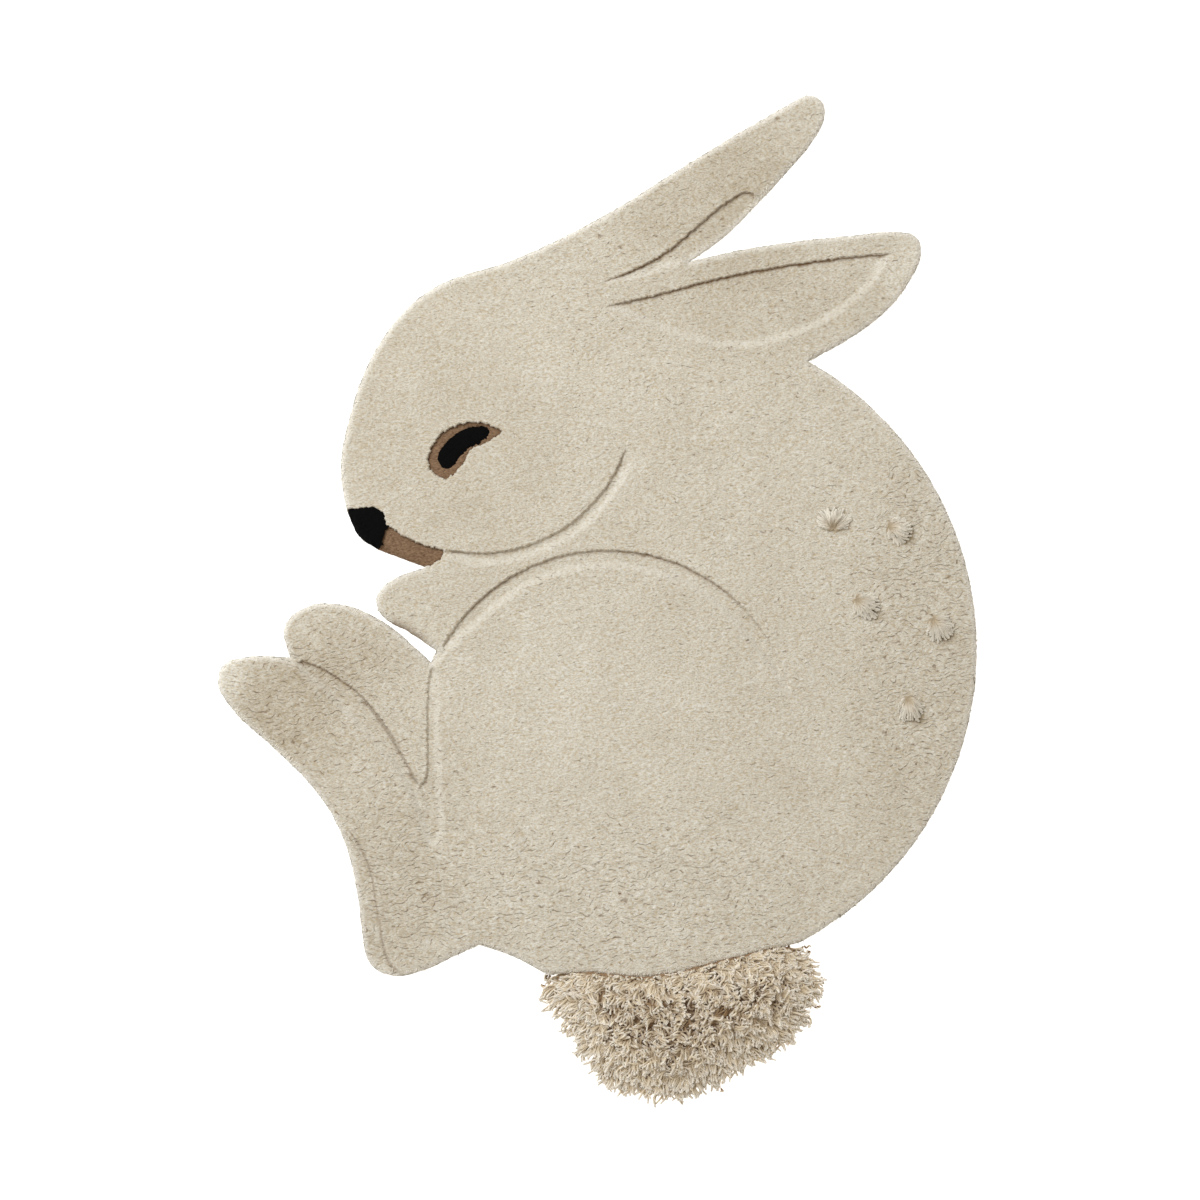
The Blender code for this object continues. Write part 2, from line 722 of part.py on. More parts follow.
def make_tail():
    """The shag: a lumpy slab of long pile. Locks stand round its rim, but for its two ends at the body."""
    rim, seam = tail_plan()
    loop = rim + seam[::-1]
    seam = [rim[0], *seam, rim[-1]]

    def height(points):
        from_rim = eased(distance_to(points, rim) / TAIL_RISE)
        to_seam = distance_to(points, seam)
        from_seam = TAIL_SEAM_SHARE + (1 - TAIL_SEAM_SHARE) * eased(to_seam / TAIL_RISE)
        edge = np.where(to_seam < MM, TAIL_SEAM_HEIGHT, TAIL_RIM_HEIGHT)
        lumps = [noise.noise(Vector((point.x, point.y, 0)) / TAIL_LUMP_PITCH) for point in points]
        lumps = TAIL_LUMP * np.array(lumps) * from_rim * eased(to_seam / TAIL_GRID)
        return edge + (TAIL_CROWN - edge) * np.minimum(from_rim, from_seam) + lumps

    bm, walls = pile_bmesh(loop, height, 0.0, loose=lattice(loop, TAIL_GRID))
    away = distance_to([wall.calc_center_median() for wall in walls], rim)
    free = [wall for wall, distance in zip(walls, away) if distance < GAP][1:-1]
    grow_locks(bm, free, 0.0, TAIL_LOCK, random.Random(7))
    add_object("shag_tail", bm, "shag")


def make_tuft(name, middle, dice):
    """One tuft of long yarn on the back: a round head with a ring of short locks lying on the pile."""
    floor = PILE_TOP + GAP
    turn = dice.uniform(0, math.tau)
    bm = bmesh.new()
    rings = []
    for share, rise in ((1.0, 0.0), (1.0, TUFT_LOCK_HEIGHT), (TUFT_SHOULDER, 0.8 * TUFT_HEAD_HEIGHT)):
        rings.append([])
        for k in range(TUFT_LOCKS):
            angle = turn + math.tau * k / TUFT_LOCKS
            place = middle + Vector((math.cos(angle), math.sin(angle))) * share * TUFT_HEAD_RADIUS
            rings[-1].append(bm.verts.new((place.x, place.y, floor + rise)))
    bm.faces.new(rings[0][::-1])
    walls = []
    for k in range(TUFT_LOCKS):
        walls.append(bm.faces.new([rings[0][k - 1], rings[0][k], rings[1][k], rings[1][k - 1]]))
        bm.faces.new([rings[1][k - 1], rings[1][k], rings[2][k], rings[2][k - 1]])
    bmesh.ops.poke(bm, faces=[bm.faces.new(rings[2])], offset=0.2 * TUFT_HEAD_HEIGHT)
    bm.normal_update()
    grow_locks(bm, walls, floor, TUFT_LOCK, dice)
    add_object(name, bm, "cream")


def make_tufts():
    """Five tufts in two loose rows that follow the round of the back."""
    dice = random.Random(20)
    for number, (degrees, radius) in enumerate(TUFTS, start=1):
        make_tuft(f"back_tuft_{number}", on_round(BACK, degrees, radius), dice)


def centre_plan():
    """Moves every piece so that the origin is below the middle of the whole rug's plan."""
    meshes = [shape.data for shape in bpy.data.objects]
    corners = as_array([vertex.co for mesh in meshes for vertex in mesh.vertices])
    middle = (corners.min(axis=0) + corners.max(axis=0)) / 2
    for mesh in meshes:
        mesh.transform(Matrix.Translation((-middle[0], -middle[1], 0)))


def main():
    for old in list(bpy.data.objects):
        bpy.data.objects.remove(old, do_unlink=True)
    make_body()
    make_snout()
    make_eye()
    make_tail()
    make_tufts()
    centre_plan()


main()
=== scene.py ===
"""The looks of the rabbit-shaped wool rug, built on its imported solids.

Every piece takes its place and its heights from a solid of the frame: the cream cut pile, the fields of dark
yarn, the shag of the tail, and the tufts on the back. A cotton cloth closes the rug below. Sizes are metres
unless a name says otherwise, and the axes are the solids' own: +Z up, +Y to the ear tips.
"""

import math
from collections import namedtuple

import bpy
import numpy as np
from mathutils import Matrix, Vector, geometry, kdtree, noise
from mathutils.bvhtree import BVHTree


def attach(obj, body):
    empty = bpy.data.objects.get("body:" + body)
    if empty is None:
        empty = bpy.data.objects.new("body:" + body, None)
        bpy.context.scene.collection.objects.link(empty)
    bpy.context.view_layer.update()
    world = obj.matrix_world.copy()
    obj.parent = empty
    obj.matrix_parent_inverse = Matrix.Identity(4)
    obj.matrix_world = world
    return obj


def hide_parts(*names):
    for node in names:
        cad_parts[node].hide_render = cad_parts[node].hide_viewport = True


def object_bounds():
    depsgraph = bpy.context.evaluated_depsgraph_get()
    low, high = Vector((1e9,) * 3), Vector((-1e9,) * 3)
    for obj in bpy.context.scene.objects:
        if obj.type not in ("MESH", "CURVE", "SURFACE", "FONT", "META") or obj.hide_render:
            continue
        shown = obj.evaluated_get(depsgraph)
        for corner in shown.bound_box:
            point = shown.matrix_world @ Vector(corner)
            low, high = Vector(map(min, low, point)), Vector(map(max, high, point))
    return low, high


MM = 0.001
SEED = 11  # of all that is random

# ---- the pile's skin ----------------------------------------------------------------------------------
PILE_PITCH = 2.0 * MM  # between the points of the cream pile's top
FIELD_PITCH = 1.3 * MM  # and of a field of dark yarn
EDGE_PITCH = 2.0 * MM  # between points along an edge
RINGS = (0.5 * MM, 1.5 * MM, 3.0 * MM, 4.8 * MM, 6.8 * MM)  # rows of points inside an edge
WALL_LEVELS = (0.6, 0.0)  # rows of the side below the rim, as shares of its height
PILE_FOOT = 0.6 * MM  # height at which the pile's side ends above the floor
CORNER = math.radians(28)  # a sharper turn of an edge stays a corner
ROUNDINGS = 6  # how often the rest of the edge is eased
EASE = 0.5  # each time, a point goes this share of the way to the middle of its neighbours
EDGE_WAVE, EDGE_WAVE_PITCH = 0.5 * MM, 11 * MM  # the shears' unsteadiness along an edge
RIPPLES, RIPPLE = 3, 0.5  # finer waves on it: how many to a wave, and their share of its depth
WARP, WARP_PITCH = 0.8 * MM, 5 * MM  # the same along the carved lines
JITTER = 0.16  # of the lattice, in pitches
RING_SHARE = 0.9  # a ring's points that lie nearer to the edge than this share of its distance are left out
RING_GAP = 0.6  # between the rings and the lattice, in pitches
STEEP = 0.6  # the normal of a steep side is less upright than this
STEEP_SAMPLES = 24  # places along each edge of its faces
FINE_BAND = 2.6 * MM  # points are twice as close this far beside a steep line
HALFWAY = ((0.5, 0.0), (0.25, 0.433), (-0.25, 0.433))  # to the middles between neighbours, in pitches
TUFT_STEP_PITCH = 3.4 * MM
LINE_STEP = 1.1 * MM  # how far a tuft stands out of a carved line
FIELD_STEP = 2.6 * MM  # and of the border of a field of dark yarn
FIELD_BORDER = 3.5 * MM
FIELDS = ("nose_inlay", "muzzle_inlay", "eye_rim_inlay")  # they border the cream pile
SURROUNDINGS = {"share": 0.8, "times": 8}  # how the heights are softened into those of the surroundings
HOLLOW_DEPTHS = (0.2 * MM, 1.3 * MM)  # below its surroundings, where a place begins to take painted shade and takes it wholly
SHADE_SIDE = (-0.1, 0.99)  # walls that rise this way, roughly towards the key light, get painted shade at their foot
OPEN_SHADE, WALL_SHADE = 0.2, 1.1  # how dark the painted shade of a low place is without such a wall, and how much darker with it
SHADE_GAIN = 1.5  # makes up for the blur
SHADE_BLUR = {"share": 0.6, "times": 2}
CREASE_STEP = 0.5 * MM
CREASE_ROUNDINGS = 60  # how often its line is eased
CREASE_FADE, CREASE_END = 8 * MM, 0.3  # a crease grows weaker this near its ends, down to this share
CREASES = (
    # softer cuts than the solids have: how deep and how wide each is in mm, how dark its painted shade is,
    # and its line in plan
    ("along the near foot", 2.4, 1.9, 0.72, [
        (-316, -130), (-299, -145), (-275, -180), (-259, -208), (-236, -249),
    ]),
    ("down the leg", 1.6, 1.7, 0.6, [
        (-333, -301), (-318, -323), (-306, -346), (-299, -370), (-296, -390),
        (-289, -434), (-284, -463), (-277, -483), (-262, -495),
    ]),
    ("below the forepaw", 0.6, 5.5, 0.9, [(-276, -27), (-246, -43), (-221, -62)]),
    ("behind the muzzle", 1.4, 1.7, 0.75, [(-217, 67), (-207, 66), (-190, 65), (-170, 64)]),
)
SPLAY_SLANT = 0.16  # cut ends splay open and are painted paler, partly a highlight, fully where the normal leans this far
SPLAY_SHARE = 0.45  # but no more than this share
BODY_PIECES = ("pile_of_haunch_and_legs", "pile_of_trunk", "pile_of_head_and_ears")  # from the tail up

CREAM_RELIEF = {
    "Tuft Width": 4.2 * MM,
    "Tuft Height": 0.8 * MM,
    "Unevenness": 2.6 * MM,
}
DARK_RELIEF = {**CREAM_RELIEF, "Unevenness": 1.0 * MM}
SHAG_RELIEF = {**CREAM_RELIEF, "Tuft Width": 8.0 * MM, "Tuft Height": 2.5 * MM}
TUFT_SHAPE = (0.75, 1.0, 0.5)  # tufts are longer across the rug, and seen lengthwise on its side
TUFT_BLEND = 0.35  # how softly neighbouring tufts run together
TUFT_FLANK = {"From Min": 0.15, "From Max": 0.75}  # where a tuft's round side starts and ends
SHAKE, SHAKE_PITCH = 5 * MM, 9 * MM  # of all these patterns, so that none is regular
ROW_PITCH, ROW_TILT = 3.6 * MM, -0.2
ROW_BEND, ROW_BEND_PITCH = 55 * MM, 40 * MM
PARTING_SHAPE = (1 / (9 * MM), 1 / (5 * MM), 0)  # partings to the metre, along, across and up
PARTING_LINE = 1.0 * MM  # half the width of the painted shade in a parting
PARTING_GATE = {"From Min": 0.55, "From Max": 0.72}  # of the wider noise, where a parting starts and is whole
SWELL_PITCH = 45 * MM  # of the pile's soft unevenness
FIELD_HIDDEN = 1.3 * MM  # a dark field reaches this far under the cream pile
FIELD_HIDDEN_EASINGS = 3  # but it ends openly at the rug's rim, and the change is eased so often
FIELD_JAG = 2.2 * MM  # and its line goes by whole tufts
FIELD_SHADOW = 0.8  # a painted shadow at the foot of the pile above it and to its left, on the key light's side
FIELD_SHADOW_SHIFT = (-1.8 * MM, 2.4 * MM)
PARTED, UNPARTED = 0.0, -1.0  # how readily the pile opens into partings where no zone says otherwise
NAP_ZONES = (
    # part, x, y, half width, half height, and how much lighter, more parted and darker in the painted shade
    # of its folds it is
    ("far foot", -430, -150, 110, 80, -0.18, 0.10, 0.0),
    ("its toes", -492, -100, 30, 36, 0.22, 0.0, 0.0),
    ("near foot", -330, -70, 90, 60, -0.10, 0.09, 0.0),
    ("its right side", -226, -150, 14, 90, 0.0, 0.0, -1.0),
    ("leg", -270, -340, 90, 170, -0.08, 0.09, 0.0),
    ("upper ear", 170, 540, 150, 120, -0.14, 0.02, 0.0),
    ("lower ear", 220, 390, 200, 60, -0.06, 0.0, 0.0),
    ("its long fold", 200, 437, 230, 45, 0.0, 0.0, 0.55),
    ("its tip", 415, 425, 40, 55, 0.10, 0.04, 0.0),
    ("rump", 20, -400, 300, 120, 0.03, 0.10, 0.0),
    ("back", 440, -40, 90, 300, -0.03, 0.12, 0.0),
    ("face", -200, 200, 140, 200, -0.06, -0.10, 0.0),
    ("cheek", -75, 115, 130, 70, 0.0, 0.0, -0.8),
    ("haunch", 20, -150, 170, 150, 0.04, -0.04, 0.0),
    ("its left side", -195, -40, 30, 45, 0.0, 0.0, -0.7),
    ("its right side", 225, -60, 60, 110, 0.0, 0.0, -0.65),
)
ZONE_MIDDLE, ZONE_SLOPE = 1.6, 1.2  # a zone is whole up to half its half width, and gone a third beyond it
TUFT_SHADOW = (10 * MM, -10 * MM), 15 * MM, -0.30  # a painted shadow beside each tuft: from its middle, how wide, and how dark
TUFT_SHADOW_SLOPE = 1.3  # it fades out over most of that width

# ---- wool ---------------------------------------------------------------------------------------------
SPECK = 3.2 * MM  # of uneven dye
CLOUD = 70 * MM  # of the nap's slow shading
STROKES = (1 / (3.6 * MM), 1 / (2.0 * MM), 1 / (3 * MM))  # the cut ends' strokes to the metre, each way
STROKE_RANGE = {"From Min": 0.36, "From Max": 0.76}  # of their noise, from the light yarn to the dark
STROKE_LEAN = math.radians(-20)
SWIRL, SWIRL_PITCH = 14 * MM, 55 * MM  # of the strokes' direction
FLECKS = (1 / (4.4 * MM), 1 / (2.4 * MM), 1 / (3 * MM))  # the small gaps between cut ends, which are painted dark as shade
FLECK_RANGE = {"From Min": 0.57, "From Max": 0.72}
CURL = 9 * MM  # where the pile is open, it also curls into soft light and dark patches
CURL_RANGE = {"From Min": -0.02, "From Max": 0.09, "To Min": 0.12, "To Max": 0.42}  # from parted to curled
CLOUD_RANGE, CLOUD_SHADE = {"From Min": 0.3, "From Max": 0.7}, -0.08
# how much paler splayed ends and the rim are painted: partly open yarn, partly a painted highlight
SPLAY_PALER = 0.55
BROWNING = (1.0, 1.15, 1.4)  # darker nap, and the painted shadow beside the tufts, is browner
EVEN_NAP = (1.038, 1.038, 1.043)
# painted shade, as shares of the way to the shadow colour: tuft valleys, creases and wall feet, gaps,
# partings
VALLEY_SHADE = 0.06
HOLLOW_SHADE = 0.6
FLECK_SHADE = 0.26
PARTING_SHADE = 0.66
FIBRE = 0.9 * MM  # coarser than real fibres, which the picture is too small to show
STROKE_BUMP, PARTING_BUMP = -1.5, -0.8  # how deep the dark strokes and the partings lie, against the fibres
WOOL_BUMP = {"Strength": 0.9, "Distance": 1.1 * MM}
WOOL_FINISH = {"Roughness": 0.95, "Specular IOR Level": 0.1, "Sheen Roughness": 0.6}
YARN_SHEEN = 0.2
STEM_RANGE = {"From Min": 0.2, "From Max": 0.75}  # along a strand, from the painted shade at its root to its body's colour
TIP_RANGE = {"From Min": 0.7, "From Max": 1.0}
SPECK_CONTRAST, SPECK_LEVEL = 0.35, 0.72
STRAND_CONTRAST = 0.22  # between one strand and another
WAVES_PER_METRE = 0.314  # scale of a wave texture whose waves are a metre long, 2 pi / 20
THREAD = 1.6 * MM  # of the backing cloth, drawn coarser than it is
CLOTH_BUMP = {"Strength": 0.6, "Distance": 0.3 * MM}
CLOTH_FINISH = {"Roughness": 0.9, "Specular IOR Level": 0.3}

# ---- long yarn ----------------------------------------------------------------------------------------
YARN_SIDES = 4
SHORTENINGS, SHORTENED = 7, 0.72  # how often, and to what share, while a strand starts off its ground
DRAWN = (0.2, 1.0)  # how much of its clumping each strand follows
CLUMP_FALL = 1.9  # strands beside a clump lie lower, by so many of its heights for each pitch away
CLUMP_LIFT = (0.5, 1.2)  # how much of that height each strand takes
CLUMP_JITTER = 0.42  # in pitches
CLUMP_SHADE, CLUMP_LIGHT = 1.8, 0.35  # how fast painted shade grows away from a clump's middle, and how much later it starts
GIRTH = (0.8, 1.2)  # of the strands, as shares of their thickness
SWING_TURN = 6.0  # radians of side swing along a strand
SINK_POWER = 1.6  # a strand rises steeply out of its ground and then lies level
HEIGHT_EASINGS = 3  # how often the ground's heights are evened out along a strand
TAPER_FROM = 0.4  # along a strand
LOCK_MARGIN = 1.8 * MM  # tips may lie this far outside the locks, and so between them
LOCK_WAYS = 6  # places round each tip that are tried
TAIL_ROOT = (0.105, -0.43)  # the tail's yarn is combed away from here
TAIL_REACH = 30 * MM  # more than the longest lock
TAIL_GROUND_DROP = 4 * MM
TAIL_YARN_PITCH = 3.05 * MM
TAIL_YARN_LENGTH = (32 * MM, 46 * MM)
TAIL_SHORTER = 0.6  # share by which the tangled yarn shows less of its length
TAIL_COMBED = 45 * MM  # this far in from the rim the yarn isn't combed any more
TAIL_LEAST_TANGLE = 0.12  # at the rim
TAIL_TANGLE = 1.5  # radians, how differently the locks lie in the middle
TAIL_STRAY = 0.3  # radians, of the strands in a lock
TAIL_LOCK_PITCH = 13 * MM
TAIL_YARN = {
    "Thickness": 2.8 * MM,
    "Tip Girth": 0.95,
    "Steps": 7,
    "Sink": 8 * MM,
    "Wander": 13 * MM,
    "Wander Pitch": 15 * MM,
    "Lowest": 2.8 * MM,
    "Swing": 3.2 * MM,
    "Rise": (-6 * MM, 14 * MM),
    "Clump Pitch": 13 * MM,
    "Clumping": 0.7,
    "Clump Height": 5 * MM,
}
TUFTS = (
    # where its yarn comes from, from its middle in mm, and how far it reaches across and up, as shares
    (0, -14, 2.9, 2.0),
    (-18, 6, 2.05, 2.15),
    (-16, 10, 2.25, 2.2),
    (-11, 13, 2.25, 2.2),
    (-3, 18, 2.1, 2.15),
)
TUFT_GROUND_DROP = 2.5 * MM
TUFT_YARN_PITCH = 0.4 * MM  # between the strands round its foot
TUFT_YARN_NEAREST = 15 * MM
TUFT_YARN_SHARES = (0.6, 1.0)  # of the way to the rim, where the strands end
TUFT_YARN_LENGTHS = (0.85, 1.0)  # as shares of their way from the root
TUFT_YARN_MARGIN = 2 * MM  # strands start no further than this outside the rim
TUFT_STRAY = 0.12  # radians
TUFT_YARN = {
    "Thickness": 3.1 * MM,
    "Tip Girth": 1.0,
    "Steps": 9,
    "Sink": 3 * MM,
    "Wander": 6 * MM,
    "Wander Pitch": 11 * MM,
    "Lowest": 17 * MM,
    "Swing": 1.2 * MM,
    "Rise": (4 * MM, 14 * MM),
    "Clump Pitch": 7 * MM,
    "Clumping": 0.3,
    "Clump Height": 1 * MM,
}
RIM_ENDS = 4500  # cut ends that splay over the rug's rim
RIM_BAND = (-1.4 * MM, 6 * MM)  # their tips lie from just outside the rim to this far inside it
RIM_GAP = 7 * MM  # there are none so near a field of dark yarn, or a soft cut
RIM_END_LENGTH = (3 * MM, 5 * MM)
RIM_STRAY = 0.6  # radians
RIM_YARN = {
    "Thickness": 1.5 * MM,
    "Tip Girth": 0.5,
    "Steps": 3,
    "Sink": 1.2 * MM,
    "Wander": 1.5 * MM,
    "Wander Pitch": 4 * MM,
    "Lowest": 9 * MM,
    "Swing": 0.4 * MM,
    "Rise": (0.5 * MM, 3 * MM),
    "Clump Pitch": 4 * MM,
    "Clumping": 0.5,
    "Clump Height": 0.6 * MM,
}

# ---- the backing --------------------------------------------------------------------------------------
BACKING = 2.0 * MM
BACKING_INSET = 2.5 * MM
BACKING_SHARE = 0.8  # points nearer to the rim than this share of the inset are left out

# ---- studio -------------------------------------------------------------------------------------------
VIEW_MIDDLE = (3.5 * MM, 1.5 * MM)  # where the photo's middle lies on the rug
VIEW_WIDTH = 1.5936  # metres across the square picture, at the top of the pile
CAMERA_HEIGHT = 12.0  # above that
SENSOR_MM = 36.0
FLOOR_LEVEL = -0.3 * MM
FLOOR_REACH = 6  # metres each way
FLOOR_ROUGHNESS = 0.9
FLOOR_COLOUR = "F4F4F4"
FLOOR_GLOW = 0.8  # as of paper that is lit from below too
SKY_STRENGTH = 0.54
SKY_COLOUR = "FFF8EE"
KEY_WATTS = 150.0
KEY_COLOUR = (0.88, 0.93, 1.0)

WELD = 1e-6  # points nearer than this are one
TINY = 1e-12  # below any length, so that nothing is divided by zero
HALF = (0.5, 0.5, 0.5)  # the mean of a noise's colour or vector
SKY = 0.2  # heights are felt downwards from here
UP = Vector((0, 0, 1))

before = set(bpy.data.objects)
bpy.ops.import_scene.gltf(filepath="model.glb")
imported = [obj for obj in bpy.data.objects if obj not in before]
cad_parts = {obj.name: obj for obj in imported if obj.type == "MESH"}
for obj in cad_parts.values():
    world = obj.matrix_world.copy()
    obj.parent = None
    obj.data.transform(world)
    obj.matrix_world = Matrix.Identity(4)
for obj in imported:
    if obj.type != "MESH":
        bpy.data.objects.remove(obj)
cad_low, cad_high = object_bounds()
TUFT_NODES = sorted(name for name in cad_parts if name.startswith("back_tuft"))


# ---- nodes and colours --------------------------------------------------------------------------------
def linear(code):
    """Linear RGBA of an sRGB colour such as "D8CFBB"."""
    parts = [int(code[i : i + 2], 16) / 255 for i in (0, 2, 4)]
    return (*[c / 12.92 if c <= 0.04045 else ((c + 0.055) / 1.055) ** 2.4 for c in parts], 1.0)


def socket_of(sockets, key):
    """A socket by its number, or the first enabled one of that name."""
    return sockets[key] if isinstance(key, int) else next(s for s in sockets if s.name == key and s.enabled)


def add(tree, kind, inputs=None, **settings):
    """Adds a node. Settings are its properties; inputs give a socket's value, or what is linked to it."""
    node = tree.nodes.new(kind)
    for name, value in settings.items():
        setattr(node, name, value)
    for key, value in (inputs or {}).items():
        if isinstance(value, bpy.types.Node):
            value = next(s for s in value.outputs if s.enabled)
        if isinstance(value, bpy.types.NodeSocket):
            tree.links.new(value, socket_of(node.inputs, key))
        else:
            socket_of(node.inputs, key).default_value = value
    return node


# ---- lines in plan ------------------------------------------------------------------------------------
def read(items, field, size=3, kind=float):
    """A property of every item, with so many numbers for each."""
    numbers = np.empty(size * len(items), kind)
    items.foreach_get(field, numbers)
    return numbers.reshape(-1, size)


def solid(name):
    """The points and triangles of a node, with each point held once."""
    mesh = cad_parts[name].data
    mesh.calc_loop_triangles()
    points = read(mesh.vertices, "co")
    keys = np.round(points / WELD).astype(np.int64)
    _, first, index = np.unique(keys, axis=0, return_index=True, return_inverse=True)
    return points[first], index.reshape(-1)[read(mesh.loop_triangles, "vertices", kind=int)]


def open_edges(faces):
    """The directed edges that only one of these faces has."""
    directed = {(int(f[i]), int(f[(i + 1) % 3])) for f in faces for i in range(3)}
    return {(a, b) for a, b in directed if (b, a) not in directed}


def foot_line(name):
    """The longest edge of a solid's flat underside, anticlockwise. Locks at its rim have their own."""
    points, faces = solid(name)
    flat = faces[(points[faces][:, :, 2] < points[:, 2].min() + WELD).all(axis=1)]
    following = {b: a for a, b in open_edges(flat)}
    longest = []
    while following:
        loop = [min(following)]
        while loop[-1] in following:
            loop.append(following.pop(loop[-1]))
        longest = max(longest, loop[:-1], key=len)
    return points[longest][:, :2]


def turns(loop):
    """The size of the turn at each point of a closed line."""
    arriving, leaving = loop - np.roll(loop, 1, axis=0), np.roll(loop, -1, axis=0) - loop
    cross = arriving[:, 0] * leaving[:, 1] - arriving[:, 1] * leaving[:, 0]
    return np.abs(np.arctan2(cross, (arriving * leaving).sum(axis=1)))


def lengths_along(line):
    """How far along an open line each of its points is."""
    return np.concatenate([[0], np.cumsum(np.linalg.norm(np.diff(line, axis=0), axis=1))])


def places_on(line, lengths):
    """The places in plan at these lengths along an open line."""
    along = lengths_along(line)
    return np.column_stack([np.interp(lengths, along, line[:, k]) for k in (0, 1)])


def fine_edge(loop, pitch):
    """A closed line with points about a pitch apart, its sharp corners kept and its small ones rounded."""
    is_corner = turns(loop) > CORNER
    start = int(np.argmax(is_corner))
    loop, is_corner = np.roll(loop, -start, axis=0), np.roll(is_corner, -start)
    stops = [i for i in range(len(loop)) if is_corner[i] or i == 0] + [len(loop)]
    closed = np.vstack([loop, loop[:1]])
    fine, fixed = [], []
    for a, b in zip(stops, stops[1:]):
        run = closed[a : b + 1]
        length = lengths_along(run)[-1]
        steps = max(2, round(length / pitch))
        fine.append(places_on(run, np.linspace(0, length, steps + 1)[:-1]))
        fixed += [bool(is_corner[a])] + [False] * (steps - 1)
    fine, free = np.concatenate(fine), ~np.array(fixed)
    for _ in range(ROUNDINGS):
        middle = (np.roll(fine, 1, axis=0) + np.roll(fine, -1, axis=0)) / 2
        fine[free] += EASE * (middle - fine)[free]
    return fine


def directions_of(loop):
    """Which way a closed line runs at each of its points."""
    along = np.roll(loop, -1, axis=0) - np.roll(loop, 1, axis=0)
    return along / np.linalg.norm(along, axis=1)[:, None]


def moved_in(loop, distance):
    """A closed anticlockwise line moved inwards, by a distance or by one for each point."""
    along = directions_of(loop)
    return loop + np.column_stack([-along[:, 1], along[:, 0]]) * np.reshape(distance, (-1, 1))


def waved(loop, depth, pitch):
    """The line with a small unevenness across it."""
    waves = [noise.noise(Vector((x, y, 0)) / pitch) for x, y in loop]
    ripples = [noise.noise(Vector((y, x, 9)) / pitch * RIPPLES) for x, y in loop]
    return moved_in(loop, depth * (np.array(waves) + RIPPLE * np.array(ripples)))


def lattice(loop, pitch, dice):
    """Points of a slightly shaken triangular lattice inside a closed line."""
    after = np.roll(loop, -1, axis=0)
    rows = []
    for k, y in enumerate(np.arange(loop[:, 1].min(), loop[:, 1].max(), pitch * math.sqrt(0.75))):
        crossing = (loop[:, 1] > y) != (after[:, 1] > y)
        a, b = loop[crossing], after[crossing]
        ends = np.sort(a[:, 0] + (y - a[:, 1]) * (b[:, 0] - a[:, 0]) / (b[:, 1] - a[:, 1]))
        shift = k % 2 * pitch / 2
        for start, end in zip(ends[::2], ends[1::2]):
            x = np.arange(math.ceil((start - shift) / pitch), (end - shift) / pitch) * pitch + shift
            rows.append(np.column_stack([x, np.full(len(x), y)]))
    points = np.concatenate(rows)
    return points + dice.uniform(-JITTER, JITTER, points.shape) * pitch


def nearest(places, points):
    """For each point, which of the places is nearest, and how far away it is."""
    tree = kdtree.KDTree(len(places))
    for i, (x, y) in enumerate(places):
        tree.insert((x, y, 0), i)
    tree.balance()
    found = [tree.find((x, y, 0)) for x, y in points]
    return np.array([index for _, index, _ in found], int), np.array([away for _, _, away in found])


def distance_from(line, points):
    """The distance of each point from a finely stepped line."""
    return nearest(line, points)[1]


# ---- skins over the solids ----------------------------------------------------------------------------
# A skin has points, their places in plan and triangles. For each point it says how much painted shade it
# takes, how far its yarn splays open and is painted paler, partly as a highlight, and whether its tufts may
# rise.
Skin = namedtuple("Skin", "points plan faces hollow splayed free")


def ray_tree(points, faces):
    """A search tree of a solid's faces."""
    return BVHTree.FromPolygons([Vector(p) for p in points], faces.tolist())


def felt(tree, plan, top, step):
    """The height of a solid under each place in plan, along slightly unsteady lines and whole tufts, and how
    upright its normal is there. The tufts are out of line by up to the step of each place."""
    heights, upright = [], []
    for (x, y), tuft_step in zip(plan, step):
        place = Vector((x, y, 0))
        shift = noise.noise_vector(place / WARP_PITCH) * WARP
        shift += (noise.cell_vector(place / TUFT_STEP_PITCH) - Vector(HALF)) * tuft_step
        hit, normal, *_ = tree.ray_cast((x + shift.x, y + shift.y, SKY), -UP)
        if hit is None:
            hit, normal, *_ = tree.find_nearest((x, y, top))
        heights.append(hit.z)
        upright.append(abs(normal.z))
    return np.array(heights), np.array(upright)


def steep_places(points, faces, edge):
    """Closely spaced places in plan along the steep sides of a solid's carving."""
    corners = points[faces]
    normal = np.cross(corners[:, 1] - corners[:, 0], corners[:, 2] - corners[:, 0])
    slope = np.abs(normal[:, 2]) / np.maximum(np.linalg.norm(normal, axis=1), TINY)
    steep = corners[(slope < STEEP) & (corners[:, :, 2].min(axis=1) > BACKING)][:, :, :2]
    shares = np.linspace(0, 1, STEEP_SAMPLES)[:, None, None, None]
    places = (steep + (np.roll(steep, -1, axis=1) - steep) * shares).reshape(-1, 2)
    return places[distance_from(edge, places) > RINGS[-1] / 2]


def refined(points, pitch, steep):
    """A lattice with points halfway between its own beside the steep places."""
    near = points[distance_from(steep, points) < FINE_BAND]
    return np.concatenate([points] + [near + np.array(offset) * pitch for offset in HALFWAY])


def softened(heights, faces, share=EASE, times=1):
    """The heights moved by a share towards the mean of their neighbours', some times over."""
    ends = np.concatenate([faces[:, [0, 1]], faces[:, [1, 2]], faces[:, [2, 0]]])
    ends = np.concatenate([ends, ends[:, ::-1]])
    count = np.maximum(np.bincount(ends[:, 0], minlength=len(heights)), 1)
    for _ in range(times):
        total = np.bincount(ends[:, 0], weights=heights[ends[:, 1]], minlength=len(heights))
        heights = heights + share * (total / count - heights)
    return heights


